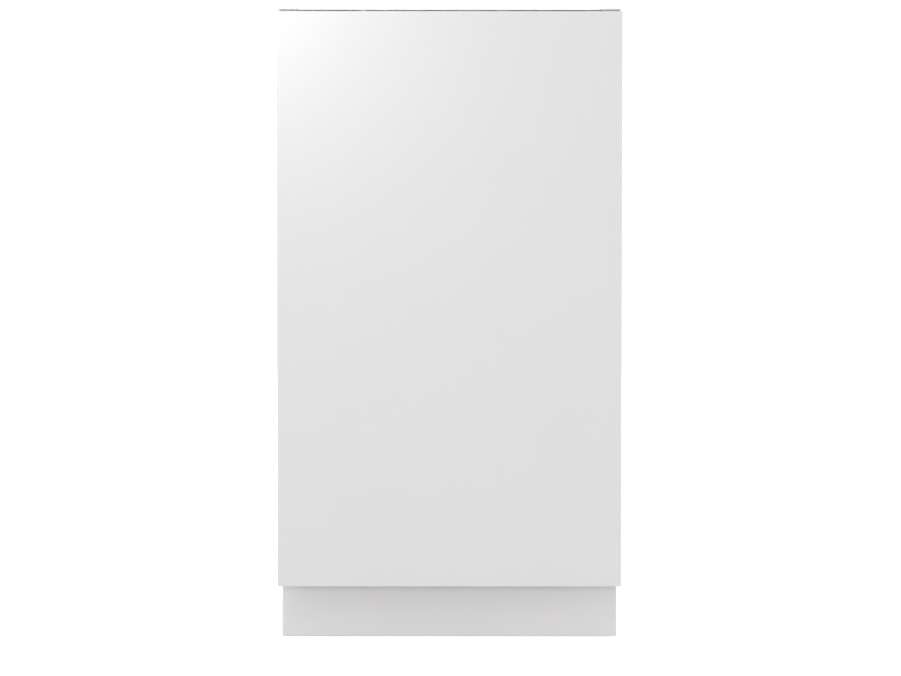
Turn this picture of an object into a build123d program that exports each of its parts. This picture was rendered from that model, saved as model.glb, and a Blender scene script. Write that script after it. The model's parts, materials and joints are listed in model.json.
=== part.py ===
# Fully integrated 45 cm dishwasher behind a white furniture door and a white plinth board.
# Millimetres, +Z up, the front faces -Y, and the origin is on the floor under the middle of the object.
# The door drops open about +X. The furniture door slides up on it as it opens, so it clears the plinth.
import os

from build123d import *

# Overall size, for a 450 mm niche
BODY_W = 448.0
DEPTH = 570.0
HEIGHT = 820.0
FRONT = -DEPTH / 2
REAR = DEPTH / 2
SHEET = 1.0  # steel sheet

# Furniture door and plinth
PANEL_W = 446.0
PANEL_T = 18.0
PANEL_BOTTOM = 72.0
PANEL_TOP = 818.0
PANEL_BACK = FRONT + PANEL_T
PLINTH_W = 436.5
PLINTH_T = 16.0
PLINTH_SETBACK = 60.0
PLINTH_TOP = 84.0
PLINTH_GAP = 1.0
PLINTH_FRONT = FRONT + PLINTH_SETBACK
PLINTH_BACK = PLINTH_FRONT + PLINTH_T
BOARD_EDGE = 0.8  # rounding of the edge banding

# Door hinge axis, along X
HINGE_Y = -245.0
HINGE_Z = 112.0
HINGE_PIN_R = 5.0
RUNNING = 0.1  # radial clearance of a running fit
BRACKET_IN = 211.0
BRACKET_OUT = 213.0
ARM_IN = 214.0
ARM_OUT = 217.0
TAIL_Y = -222.0
TAIL_Z = 134.0

# Door
DOOR_W = 444.0
DOOR_FRONT = -264.5
DOOR_BOTTOM = 104.0
DOOR_TOP = 817.5
LINER_FACE = -215.0
LINER_W = 442.0
LINER_TOP = 812.0
BULGE = 9.0
BULGE_FACE = LINER_FACE + BULGE
FASCIA_BOTTOM = 772.0
FASCIA_WALL = 2.5
NOTCH_X = 204.0  # the lower corners are open outside this, for the hinges
NOTCH_TOP = 152.0

# Rails that the furniture door slides on
RAIL_X = 150.0
RAIL_BOTTOM = 200.0
RAIL_TOP = 690.0
CHANNEL_BACK = -253.5

# Controls on the top edge of the door
CONTROL_Y = -246.0
CONTROL_D = 16.0
POWER_X, POWER_W = -111.0, 11.0
PROGRAM_X, PROGRAM_W = -83.0, 12.0
DISPLAY_X, DISPLAY_W = 28.0, 39.0
START_X, START_W = 67.0, 13.0
BUTTON_PROUD = 1.1
BUTTON_GAP = 0.2
STEM_BOTTOM = 809.0

# Dispenser in the door liner
DISPENSER_Z = 505.0
DISPENSER_W = 170.0
DISPENSER_H = 170.0
CUP_X0, CUP_X1 = -72.0, 8.0
CUP_Z0, CUP_Z1 = 436.0, 496.0
RINSE_X, RINSE_Z, RINSE_R = 48.0, 545.0, 20.0

# Tub
TUB_X = 206.0
TUB_T = 1.2
TUB_FLOOR = 142.2
TUB_TOP = 802.0
TUB_MOUTH = -208.0
TUB_REAR = 262.0
TUB_R = 18.0  # upper corners
TUB_FOOT_R = 4.0  # lower corners, small so that the basket wheels run beside them
TUB_REAR_R = 3.5
BASIN_X = 178.0
BASIN_Y0, BASIN_Y1 = -150.0, 232.0
BASIN_FLOOR = 120.2
FLANGE_X = 217.0
FLANGE_TOP = 813.0

# Water parts under and in the tub
ARM_Y = 25.0  # spray arms turn about (0, ARM_Y)
RISER_R = 16.0
RISER_TOP = 149.0
LOWER_REACH = 178.0
UPPER_REACH = 170.0
FILTER_X, FILTER_Y, FILTER_R = 62.0, -42.0, 35.0
SALT_X, SALT_Y, SALT_R = -115.0, -95.0, 26.0
FEED_Y = 216.0
FEED_R = 9.0
DOCK_Z = 479.0
PUMP_Y, PUMP_Z, PUMP_R = -42.0, 72.0, 38.0
PUMP_X0, PUMP_X1, PUMP_X2 = 128.0, 158.0, 205.0
DRAIN_X, DRAIN_Y, DRAIN_Z, DRAIN_R = 90.0, 150.0, 60.0, 24.0
OUTLET_X, OUTLET_Z, OUTLET_R = 105.0, 60.0, 10.0
INLET_X, INLET_Z, INLET_R = -150.0, 80.0, 13.2
GLAND_X, GLAND_Z, GLAND_R = 172.0, 92.0, 4.0

# Base tray, outer side panels and feet
TRAY_X = 216.0
TRAY_FRONT = -205.0
TRAY_REAR = 261.0
TRAY_BOTTOM = 20.0
TRAY_TOP = 112.0
TRAY_T = 3.0
SIDE_BOTTOM = 76.0
SIDE_TOP = 816.0
SIDE_FRONT = -213.0
BACK_Y = 280.0
FOOT_R = 20.0
STUD_R = 5.0
STUD_TOP = 78.0
BOSS_TOP = 60.0
FEET = {"foot_front_left": (-185.0, -170.0), "foot_front_right": (185.0, -170.0), "foot_rear": (0.0, 235.0)}
LUG_W = 21.0
LUG_T = 1.3
LUG_HOLE_X, LUG_HOLE_Y, LUG_HOLE_R = 207.5, -190.0, 2.25

# Baskets
WIRE_R = 1.75
RIM_R = 2.5
BASKET_REAR = 222.0
UPPER_X, UPPER_FRONT = 176.0, -185.0
UPPER_FLOOR, UPPER_RIM = 492.0, 595.0
LOWER_X, LOWER_FRONT = 180.0, -185.0
LOWER_FLOOR, LOWER_RIM = 178.0, 328.0
LOWER_SET_BACK = 40.0  # how far the floor's front edge stands behind the rim
BEND_R = 12.0
LOOP_BEND_R = 16.0
CROSSING = 2.4  # how far the lengthwise wires lie over the bows that they are welded to
SLOPE_H = 50.0  # height of the lower basket's sloping front
BOWS = 9
PART = 0.01  # half the gap where a basket is parted
CARRIER_X, PIN_X = 187.5, 201.5  # outer ends of the wheel carriers and of their pins
SHORT_TINE_XS = (96.0, 146.0)
ARM_PORT_R = 12.0  # outside of the pipe that the upper arm turns on
DOCK_END = 235.5
WHEEL_R, WHEEL_W = 20.0, 11.0
WHEEL_X = 194.0
WHEEL_Z = 162.6
WHEEL_YS = {"front_wheels": -78.0, "rear_wheels": 130.0}
WHEEL_PIN_R = 4.0
RAIL_Z, RAIL_H = 565.0, 24.0
RAIL_FRONT, RAIL_REAR = -190.0, 235.0
TINE_TOP = 252.0
TINE_PITCH = 32.0
TINE_Y0 = -112.0
TINES = 10
FOLD_X, FOLD_Z = 48.0, 186.0
FIXED_TINE_X = 128.0
SHELF_X, SHELF_Z, SHELF_W = -170.0, 548.0, 86.0
SHELF_Y0, SHELF_Y1 = -140.0, 180.0
SHELF_CLIPS = (-110.0, 150.0)
FOLD_CLIPS = (-96.0, 32.0, 160.0)
CLIP_R = 1.85
CUTLERY_X0, CUTLERY_X1 = -170.0, -98.0
CUTLERY_Y0, CUTLERY_Y1 = -138.0, 90.0
CUTLERY_Z0, CUTLERY_Z1 = 182.5, 306.0
CUTLERY_COLUMNS, CUTLERY_ROWS = 2, 4
CUTLERY_WALL = 2.0


def block(x0, x1, y0, y1, z0, z1):
    """Box between two opposite corners."""
    return Pos((x0 + x1) / 2, (y0 + y1) / 2, (z0 + z1) / 2) * Box(x1 - x0, y1 - y0, z1 - z0)


def rounded(shape, radius, axis):
    """The shape with its edges along one axis rounded."""
    return fillet(shape.edges().filter_by(axis), radius)


def rod(start, end, radius):
    """Round bar from one point to another."""
    start, end = Vector(*start), Vector(*end)
    along = end - start
    low = (Align.CENTER, Align.CENTER, Align.MIN)
    return Plane(origin=start, z_dir=along) * Cylinder(radius, along.length, align=low)


def tube(start, end, outer, inner):
    """Round pipe from one point to another."""
    return rod(start, end, outer) - rod(start, end, inner)


def upright(x, y, z0, z1, radius):
    return rod((x, y, z0), (x, y, z1), radius)


def across(y, z, x0, x1, radius):
    return rod((x0, y, z), (x1, y, z), radius)


def wire(points, radius, bend=BEND_R):
    """Round wire along straight runs with an arc at each corner."""
    path = FilletPolyline(*points, radius=bend) if len(points) > 2 else Line(*points)
    return sweep(Plane(origin=path @ 0, z_dir=path % 0) * Circle(radius), path)


def hull(circles, x0, x1):
    """Plate across X over the hull of circles (y, z, radius)."""
    edges = []
    for y, z, radius in circles:
        edges += (Pos(y, z) * Circle(radius)).edges()
    return extrude(Plane.YZ.offset(x0) * make_hull(edges), x1 - x0)


def mirrored(shape):
    """The shape and its mirror image on the other side of the object."""
    return [shape, mirror(shape, about=Plane.YZ)]


def fused(shapes):
    """One solid from overlapping shapes."""
    return Part() + list(shapes)


def board(x0, x1, y0, y1, z0, z1):
    return fillet(block(x0, x1, y0, y1, z0, z1).edges(), BOARD_EDGE)


def save(node, *shapes):
    """Writes one sub-part: each of its solids stays a separate piece."""
    solids = [solid for shape in shapes for solid in shape.solids()]
    export_step(Compound(children=solids), f"parts/{node}.step")


# Furniture door and plinth


def front_panel():
    return board(-PANEL_W / 2, PANEL_W / 2, FRONT, PANEL_BACK, PANEL_BOTTOM, PANEL_TOP)


def panel_sliders():
    """Plates screwed to the back of the furniture door, each with two shoes that run in a rail."""
    gap = 0.5
    plate = block(RAIL_X - 20, RAIL_X + 20, PANEL_BACK, PANEL_BACK + 2, 215, 640)
    plate = rounded(plate, 6, Axis.Y)
    shoes = []
    for z in (230, 560):
        shoes.append(block(RAIL_X - 7.5, RAIL_X + 7.5, PANEL_BACK + 1, -258, z, z + 60))
        shoes.append(block(RAIL_X - 13 + gap, RAIL_X + 13 - gap, -260.5 + gap, -255.5 - gap, z, z + 60))
    return mirrored(fused([plate, *shoes]))


def plinth():
    return board(-PLINTH_W / 2, PLINTH_W / 2, PLINTH_FRONT, PLINTH_BACK, PLINTH_GAP, PLINTH_TOP)


# Door


def door_outer_sheet():
    """Pan of steel sheet with two upright channels for the slide rails and open lower corners."""
    half = DOOR_W / 2
    pan = block(-half, half, DOOR_FRONT, -217, DOOR_BOTTOM, FASCIA_BOTTOM)
    pan = rounded(pan, 2, Axis.Z)
    inside = block(-half + SHEET, half - SHEET, DOOR_FRONT + SHEET, -216, DOOR_BOTTOM + SHEET, 780)
    pan -= inside
    for x in (-RAIL_X, RAIL_X):
        pan += block(x - 22, x + 22, DOOR_FRONT, CHANNEL_BACK + SHEET, 150, 720)
        pan -= block(x - 21, x + 21, DOOR_FRONT - 1, CHANNEL_BACK, 151, 719)
    for side in (-1, 1):
        x0, x1 = sorted((side * (NOTCH_X - 1), side * (half - SHEET)))
        pan -= block(x0, x1, DOOR_FRONT + SHEET, -210, DOOR_BOTTOM - 1, DOOR_BOTTOM + 2)
    return pan


def panel_rails():
    """C rails in the channels of the outer sheet."""
    rail = block(RAIL_X - 15, RAIL_X + 15, -262, CHANNEL_BACK, RAIL_BOTTOM, RAIL_TOP)
    rail -= block(RAIL_X - 13, RAIL_X + 13, -260.5, -255.5, RAIL_BOTTOM - 1, RAIL_TOP + 1)
    rail -= block(RAIL_X - 8, RAIL_X + 8, -263, -260, RAIL_BOTTOM - 1, RAIL_TOP + 1)
    return mirrored(rail)


def pressed_bulge(grow, face, z0, z1):
    """Raised middle of the liner, with sloping sides, from behind its plate up to a face."""
    centre = (z0 + z1) / 2
    depth = face - (LINER_FACE - SHEET)
    base = Plane(origin=(0, LINER_FACE - SHEET, centre), x_dir=(1, 0, 0), z_dir=(0, 1, 0))
    return extrude(base * RectangleRounded(372 + grow, z1 - z0 + grow, 26 + grow / 2), depth, taper=30)


def door_liner():
    """Stainless inner skin: a shallow tray with a pressed bulge, notched at the hinges."""
    half = LINER_W / 2
    tray = block(-half, half, -222, LINER_FACE, 108, LINER_TOP)
    tray = rounded(tray, 3, Axis.Y)
    tray -= block(-half + SHEET, half - SHEET, -223, LINER_FACE - SHEET, 108 + SHEET, LINER_TOP - SHEET)
    tray += pressed_bulge(0, BULGE_FACE, 152, 786)
    tray -= pressed_bulge(-2.4, BULGE_FACE - SHEET, 152, 786)
    for side in (-1, 1):
        x0, x1 = sorted((side * NOTCH_X, side * (half + 1)))
        tray -= block(x0, x1, -224, -214, 100, NOTCH_TOP)
    window = DISPENSER_W / 2 - 6
    high = DISPENSER_H / 2 - 6
    tray -= block(-window, window, -220, -200, DISPENSER_Z - high, DISPENSER_Z + high)
    tray -= block(-9, 9, -220, -210, 787.5, 800)  # slot for the striker
    return tray


def door_insulation():
    felt = block(-200, 200, CHANNEL_BACK + SHEET, LINER_FACE - SHEET, 112, 760)
    return felt - block(-84, 84, -260, -210, 415, 595)


def control_fascia():
    """Plastic cap on the door's top edge, with openings for the buttons and the display."""
    half = DOOR_W / 2
    cap = block(-half, half, DOOR_FRONT, LINER_FACE, FASCIA_BOTTOM, DOOR_TOP)
    cap = fillet(cap.edges().group_by(Axis.Z)[-1], 1.0)
    inner_top = DOOR_TOP - FASCIA_WALL
    side = LINER_W / 2
    cap -= block(-side, side, DOOR_FRONT + FASCIA_WALL, -214, FASCIA_BOTTOM - 1, inner_top)
    cap += block(-side, side, -217.5, LINER_FACE, LINER_TOP, inner_top)
    y0, y1 = CONTROL_Y - CONTROL_D / 2, CONTROL_Y + CONTROL_D / 2
    openings = ((POWER_X, POWER_W), (PROGRAM_X, PROGRAM_W), (DISPLAY_X, DISPLAY_W), (START_X, START_W))
    for x, width in openings:
        cap -= block(x - width / 2, x + width / 2, y0, y1, inner_top - 1, DOOR_TOP + 1)
    return cap


def key_block(x, width, grow, z0, z1):
    """Block that fits a control opening of this width, grown all round by so much."""
    half, deep = width / 2 - BUTTON_GAP + grow, CONTROL_D / 2 - BUTTON_GAP + grow
    return block(x - half, x + half, CONTROL_Y - deep, CONTROL_Y + deep, z0, z1)


def display_window():
    """Pane in the fascia's opening, with a flange under its edge."""
    inner_top = DOOR_TOP - FASCIA_WALL
    pane = key_block(DISPLAY_X, DISPLAY_W, 0, inner_top - 2, DOOR_TOP + 0.5)
    flange = key_block(DISPLAY_X, DISPLAY_W, 3, inner_top - 2, inner_top)
    return fused([pane, flange])


def button(x, width):
    """Key cap that stands proud of the fascia, with a collar under it and a stem to the switch."""
    inner_top = DOOR_TOP - FASCIA_WALL
    cap = key_block(x, width, 0, inner_top - 2, DOOR_TOP + BUTTON_PROUD)
    cap = fillet(cap.edges().group_by(Axis.Z)[-1], 0.5)
    collar = key_block(x, width, 2, inner_top - 2.4, inner_top - 0.2)
    stem = upright(x, CONTROL_Y, STEM_BOTTOM, inner_top - 1, 2)
    return fused([cap, collar, stem])


def control_board():
    """Circuit board with a switch under each button, a display module and a few components."""
    plate = block(-128, 96, -261, -236, 800, 801.6)
    parts = [plate, block(DISPLAY_X - 19, DISPLAY_X + 19, -254, -238, 801, 809)]
    for x in (POWER_X, PROGRAM_X, START_X):
        parts.append(block(x - 3, x + 3, CONTROL_Y - 3, CONTROL_Y + 3, 801, 805))
        parts.append(upright(x, CONTROL_Y, 804, 807.3, 1.75))
    parts.append(block(-60, -35, -259, -240, 790, 800.5))
    parts.append(upright(-20, -248, 801, 811, 5))
    parts += [upright(x, y, 801, DOOR_TOP - FASCIA_WALL, 3) for x in (-124, 92) for y in (-257, -240)]
    return fused(parts)


def door_latch():
    """Lock lever: turns about X, and its claw stands under the nose of the striker."""
    lever = hull([(-243, 781, 6), (-226, 786, 4.6)], -6, 6)
    claw = block(-6, 6, -228, -222, 786, 790.6)
    stop = hull([(-243, 781, 4), (-247, 766, 3)], -4, 4)
    axle = across(-243, 781, -14, 14, 3)
    return fused([lever, claw, stop, axle])


def dispenser_housing():
    """Detergent cup with sliding-lid guides and a rinse-aid filler beside it."""
    half_w, half_h = DISPENSER_W / 2, DISPENSER_H / 2
    z0, z1 = DISPENSER_Z - half_h, DISPENSER_Z + half_h
    face = BULGE_FACE + 4
    flange = rounded(block(-half_w, half_w, BULGE_FACE, face, z0, z1), 10, Axis.Y)
    body = block(-half_w + 7, half_w - 7, -244, BULGE_FACE + 1, z0 + 7, z1 - 7)
    housing = fused([flange, body])
    cup = rounded(block(CUP_X0, CUP_X1, -232, face + 1, CUP_Z0, CUP_Z1), 12, Axis.Y)
    housing -= cup
    housing -= rod((RINSE_X, -228, RINSE_Z), (RINSE_X, face + 1, RINSE_Z), 16)
    for x in (CUP_X0 - 8, CUP_X1 + 5):
        housing += block(x, x + 3, face - 1, face + 4, z0 + 6, z1 - 4)
    return housing


def dispenser_lid():
    face = BULGE_FACE + 4
    gap = 0.4
    lid = block(CUP_X0 - 4.5, CUP_X1 + 4.5, face + gap, face + 4.2, CUP_Z0 - 5, CUP_Z1 + 5)
    lid = rounded(lid, 5, Axis.Y)
    middle = (CUP_X0 + CUP_X1) / 2
    return fused([lid, block(middle - 18, middle + 18, face + 3, face + 7, CUP_Z0 + 2, CUP_Z0 + 7)])


def rinse_aid_cap():
    face = BULGE_FACE + 4
    cap = rod((RINSE_X, face + 0.4, RINSE_Z), (RINSE_X, face + 4.4, RINSE_Z), RINSE_R)
    plug = rod((RINSE_X, -216, RINSE_Z), (RINSE_X, face + 1, RINSE_Z), 15.9)
    grip = block(RINSE_X - 15, RINSE_X + 15, face + 3, face + 8, RINSE_Z - 2.5, RINSE_Z + 2.5)
    return fused([cap, plug, grip])


def hinge_arms():
    """Plates inside the door's sides: bored for the hinge pin, with a tail that pulls the spring."""
    plate = hull([(HINGE_Y, HINGE_Z, 12), (HINGE_Y, 258, 12)], ARM_IN, ARM_OUT)
    tail = hull([(HINGE_Y, HINGE_Z, 12), (TAIL_Y, TAIL_Z, 6)], ARM_IN, ARM_OUT)
    pad = block(ARM_OUT - 1, DOOR_W / 2 - SHEET, HINGE_Y - 10, HINGE_Y + 10, 165, 255)
    arm = fused([plate, tail, pad])
    arm -= across(HINGE_Y, HINGE_Z, ARM_IN - 1, ARM_OUT + 1, HINGE_PIN_R + RUNNING)
    arm -= across(TAIL_Y, TAIL_Z, ARM_IN - 1, ARM_OUT + 1, 2)
    return mirrored(arm)


def door_lower_seal():
    """Rubber strip on the liner that meets the tub's front lip."""
    strip = block(-203, 203, LINER_FACE, -212.4, 118, 128)
    return fillet(strip.edges().group_by(Axis.Y)[-1].filter_by(Axis.X), 1.0)


# Cabinet


def tub_body(inset, front):
    """The tub's outer shape, or with an inset the space inside it."""
    x, z0, z1 = TUB_X - inset, TUB_FLOOR - TUB_T + inset, TUB_TOP - inset
    body = block(-x, x, front, TUB_REAR - inset, z0, z1)
    for end, radius in ((0, TUB_FOOT_R), (-1, TUB_R)):
        body = fillet(body.edges().filter_by(Axis.Y).group_by(Axis.Z)[end], radius - inset)
    return fillet(body.edges().group_by(Axis.Y)[-1], TUB_REAR_R - inset)


def tub():
    """Stainless tub: open front with a flange, and a basin in its floor for the sump and the filter."""
    flange = block(-FLANGE_X, FLANGE_X, TUB_MOUTH, TUB_MOUTH + SHEET, NOTCH_TOP, FLANGE_TOP)
    lip = block(-TUB_X, TUB_X, -212, TUB_MOUTH, TUB_FLOOR - TUB_T, TUB_FLOOR)
    lip += block(-TUB_X, TUB_X, -212, -212 + SHEET, 116, TUB_FLOOR)
    shell = tub_body(0, TUB_MOUTH) + flange - tub_body(TUB_T, TUB_MOUTH - 20) + lip
    basin = block(-BASIN_X, BASIN_X, BASIN_Y0, BASIN_Y1, BASIN_FLOOR - TUB_T, TUB_FLOOR)
    hollow = block(
        -BASIN_X + TUB_T, BASIN_X - TUB_T, BASIN_Y0 + TUB_T, BASIN_Y1 - TUB_T, BASIN_FLOOR, TUB_FLOOR + 1
    )
    shell += rounded(basin, 25, Axis.Z)
    shell -= rounded(hollow, 25 - TUB_T, Axis.Z)
    low = BASIN_FLOOR - 5
    shell -= upright(FILTER_X, FILTER_Y, low, TUB_FLOOR, 46)
    shell -= upright(0, ARM_Y, low, TUB_FLOOR, RISER_R + 2)
    shell -= upright(SALT_X, SALT_Y, low, TUB_FLOOR, SALT_R + 2)
    shell -= upright(0, FEED_Y, low, TUB_FLOOR, FEED_R + 1)
    return shell


def tub_seal():
    """Rubber gasket on the tub's flange, round the sides and the top of the mouth."""
    front = LINER_FACE + 0.4
    outer = block(-216, 216, front, TUB_MOUTH, NOTCH_TOP, 812.5)
    outer = fillet(outer.edges().filter_by(Axis.Y).group_by(Axis.Z)[-1], 20)
    inner = block(-206.5, 206.5, front - 1, TUB_MOUTH + 1, NOTCH_TOP - 1, 801.5)
    inner = fillet(inner.edges().filter_by(Axis.Y).group_by(Axis.Z)[-1], 12)
    seal = outer - inner
    return fillet(seal.edges().group_by(Axis.Y)[0].filter_by(Axis.Z), 2.5)


def tub_insulation():
    """Felt blanket over the sides and the top of the tub."""
    blanket = block(-209.5, 209.5, -200, 255, 165, 806)
    blanket = fillet(blanket.edges().filter_by(Axis.Y).group_by(Axis.Z)[-1], TUB_R)
    return blanket - tub_body(0, TUB_MOUTH)


def side_panels():
    """Steel outer sides, each folded in at the front, the top and the rear."""
    outer = BODY_W / 2
    panel = block(outer - SHEET, outer, SIDE_FRONT, BACK_Y, SIDE_BOTTOM, SIDE_TOP)
    panel += block(217.5, outer, SIDE_FRONT, SIDE_FRONT + SHEET, PLINTH_TOP + 4, SIDE_TOP)
    panel += block(TRAY_X + 0.5, outer, -204, 250, SIDE_BOTTOM, SIDE_BOTTOM + SHEET)
    panel += block(211, outer, SIDE_FRONT, BACK_Y, SIDE_TOP - SHEET, SIDE_TOP)
    panel += block(211, outer, BACK_Y - SHEET, BACK_Y, SIDE_BOTTOM, SIDE_TOP)
    for z in (250, 450, 650):
        panel -= block(outer - 0.5, outer + 1, -150, 230, z, z + 60)
    panel -= block(210, outer - SHEET, SIDE_FRONT - 1, -206, 810, SIDE_TOP + 1)
    return mirrored(panel)


def back_panel():
    panel = block(-222, 222, BACK_Y, BACK_Y + SHEET, 130, SIDE_TOP)
    panel = rounded(panel, 4, Axis.Y)
    for x in range(-150, 151, 60):
        for z in (180, 196, 212):
            panel -= rounded(block(x - 20, x + 20, BACK_Y - 1, BACK_Y + 2, z, z + 6), 2.9, Axis.Y)
    return panel


def top_crossbar():
    """Steel strip across the top front, folded down at its front edge."""
    top = HEIGHT - LUG_T
    strip = block(-222, 222, -211, -150, SIDE_TOP, top)
    lip = block(-222, 222, -211, -209.5, FLANGE_TOP + 0.2, top)
    bar = fused([strip, lip])
    for x in (-LUG_HOLE_X, LUG_HOLE_X):
        bar -= upright(x, LUG_HOLE_Y, top - 5, top + 5, LUG_HOLE_R)
    return bar


def worktop_lugs():
    """Tabs with a screw hole each, for fixing the front of the machine under a worktop."""
    x1 = 223.0
    lug = block(x1 - LUG_W, x1, -211, -170, HEIGHT - LUG_T, HEIGHT)
    lug = fillet(lug.edges().filter_by(Axis.Z).group_by(Axis.Y)[-1], 5)
    lug -= upright(LUG_HOLE_X, LUG_HOLE_Y, HEIGHT - 5, HEIGHT + 5, LUG_HOLE_R)
    return mirrored(lug)


def base_tray():
    """Plastic tray that carries everything: foot bosses, posts under the tub, spring anchors, side ledges."""
    tray = block(-TRAY_X, TRAY_X, TRAY_FRONT, TRAY_REAR, TRAY_BOTTOM, TRAY_TOP)
    tray = rounded(tray, 12, Axis.Z)
    inner_x, y0, y1 = TRAY_X - TRAY_T, TRAY_FRONT + TRAY_T, TRAY_REAR - TRAY_T
    hollow = block(-inner_x, inner_x, y0, y1, TRAY_BOTTOM + TRAY_T, TRAY_TOP + 1)
    tray -= rounded(hollow, 12 - TRAY_T, Axis.Z)
    for x, y in FEET.values():
        tray += upright(x, y, TRAY_BOTTOM, BOSS_TOP, 12)
        tray -= upright(x, y, TRAY_BOTTOM - 1, BOSS_TOP + 1, STUD_R + RUNNING)
    for x, y in ((-160, -120), (160, -120), (-115, 205), (150, 200)):
        tray += upright(x, y, TRAY_BOTTOM + 1, BASIN_FLOOR - TUB_T, 9)
    for side in (-1, 1):
        x0, x1 = sorted((side * (TRAY_X - 1), side * 223))
        tray += block(x0, x1, -204, 250, SIDE_BOTTOM - TRAY_T, SIDE_BOTTOM)
        x0, x1 = sorted((side * (TRAY_X - TRAY_T), side * TRAY_X))
        tray += block(x0, x1, -60, -48, TRAY_TOP - 1, 140)
        x0, x1 = sorted((side * 100, side * 130))
        tray += block(x0, x1, PLINTH_BACK, TRAY_FRONT + 1, 32, 62)
    for x, z, radius in ((OUTLET_X, OUTLET_Z, 11), (INLET_X, INLET_Z, 14), (GLAND_X, GLAND_Z, 8)):
        tray -= rod((x, TRAY_REAR - 10, z), (x, TRAY_REAR + 10, z), radius)
    return tray


def foot(x, y):
    """Pad, hexagon for a spanner, and a stud that runs in the tray's boss."""
    pad = fillet(upright(x, y, 0, 8, FOOT_R).edges(), 1.5)
    hexagon = Pos(x, y, 7) * extrude(RegularPolygon(9.8, 6), 8)
    return fused([pad, hexagon, upright(x, y, 14, STUD_TOP, STUD_R)])


def hinge_brackets():
    """Brackets on the tray's front, each with a fixed hinge pin."""
    ear = hull([(HINGE_Y, HINGE_Z, 11), (-212, 122, 7), (-212, 97, 7)], BRACKET_IN, BRACKET_OUT)
    ear += block(BRACKET_IN, BRACKET_OUT, -212, TRAY_FRONT, 90, 110)
    foot_plate = block(188, BRACKET_OUT, TRAY_FRONT - 2, TRAY_FRONT, 90, 110)
    pin = across(HINGE_Y, HINGE_Z, BRACKET_IN, 219.5, HINGE_PIN_R)
    return mirrored(fused([ear, foot_plate, pin]))


def door_springs():
    """Close-wound tension springs beside the tub, from the hinge arm's tail to the tray's anchor."""
    x, coil_r, wire_r, coils = 215.5, 5.4, 0.9, 60
    pitch, middle_r = 2 * wire_r, coil_r - wire_r
    y0 = -202.0
    y1 = y0 + coils * pitch
    bulges = []
    for y in steps(y0, y1 - pitch, coils):
        bulges.append(ThreePointArc((middle_r, y), (coil_r, y + wire_r), (middle_r, y + pitch)))
    bore_r = middle_r - 1.2 * wire_r
    bore = Polyline((middle_r, y1), (bore_r, y1), (bore_r, y0), (middle_r, y0))
    ring = revolve(Plane.XY * make_face([*bulges, *bore.edges()]), Axis.Y)
    hook_front = rod((0, y0 + 3, 0), (0, -215.4, 0), wire_r)
    hook_rear = rod((0, y1 - 3, 0), (0, -60.2, 0), wire_r)
    ends = [rod((0, y, 0), (0, y + 2, 0), middle_r) for y in (y0, y1 - 2)]
    spring = Pos(x, 0, TAIL_Z) * fused([ring, *ends, hook_front, hook_rear])
    return mirrored(spring)


def latch_striker():
    """Tongue on the tub's flange that reaches into the door, with a nose for the lock lever."""
    plate = block(-7, 7, -232, TUB_MOUTH, 793, 796)
    nose = block(-7, 7, -232, -229, 791.6, 794)
    foot_plate = block(-14, 14, TUB_MOUTH - 1.5, TUB_MOUTH, 786, 800.5)
    return fused([plate, nose, foot_plate])


def cabinet_screws():
    """Pan-head screws on the back panel and on the hinge brackets."""
    heads = []
    for x in (-210, 210):
        for z in (145, 360, 580, 800):
            head = rod((x, BACK_Y + SHEET, z), (x, BACK_Y + SHEET + 2, z), 4)
            heads.append(head - block(x - 2.5, x + 2.5, BACK_Y + 2, BACK_Y + 4, z - 0.5, z + 0.5))
    for x in (-205, -193, 193, 205):
        head = rod((x, TRAY_FRONT - 4, 100), (x, TRAY_FRONT - 2, 100), 4)
        heads.append(head - block(x - 2.5, x + 2.5, TRAY_FRONT - 5, TRAY_FRONT - 3.2, 99.5, 100.5))
    return heads


# Water parts


def sump():
    """Filter well, riser for the lower arm, and the ducts to the two pumps and the feed pipe."""
    under = BASIN_FLOOR - TUB_T
    well = upright(FILTER_X, FILTER_Y, 52, under, 50)
    chamber = block(-24, 60, -60, 45, 74, 104)
    riser = upright(0, ARM_Y, 76, under, 24) + upright(0, ARM_Y, under - 1, RISER_TOP, RISER_R)
    suction = across(PUMP_Y, PUMP_Z, FILTER_X + 40, PUMP_X0, 18)
    pressure = wire([(143, 0, PUMP_Z), (143, 40, PUMP_Z), (10, 40, 90)], 10, 14)
    drain = wire([(FILTER_X, 0, 66), (FILTER_X, 150, DRAIN_Z), (DRAIN_X, 150, DRAIN_Z)], 8, 14)
    feed = rod((0, 40, 88), (0, FEED_Y + 4, 88), 10) + upright(0, FEED_Y, 80, 100, 12)
    body = fused([well, chamber, riser, suction, pressure, drain, feed])
    body -= upright(FILTER_X, FILTER_Y, 55, under + 1, 44)
    body -= upright(0, ARM_Y, 84, RISER_TOP + 1, RISER_R - 3)
    return body


def circulation_pump():
    """Pump volute and motor in line, hollow for the impeller, with its outlet at the side."""
    volute = across(PUMP_Y, PUMP_Z, PUMP_X0, PUMP_X1, PUMP_R)
    motor = across(PUMP_Y, PUMP_Z, PUMP_X1 - 1, PUMP_X2, 34)
    outlet = block(131, 155, PUMP_Y + 20, 0, PUMP_Z - 12, PUMP_Z + 12)
    fins = [across(PUMP_Y, PUMP_Z, x, x + 2.5, 36.5) for x in (166, 174, 182, 190)]
    pump = fused([volute, motor, outlet, *fins])
    pump -= across(PUMP_Y, PUMP_Z, PUMP_X0 + 3, PUMP_X1 - 3, 33)
    pump -= across(PUMP_Y, PUMP_Z, PUMP_X0 - 1, PUMP_X0 + 4, 14)
    pump -= across(PUMP_Y, PUMP_Z, PUMP_X1 - 4, PUMP_X2 - 8, 4 + RUNNING)
    return pump


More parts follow.
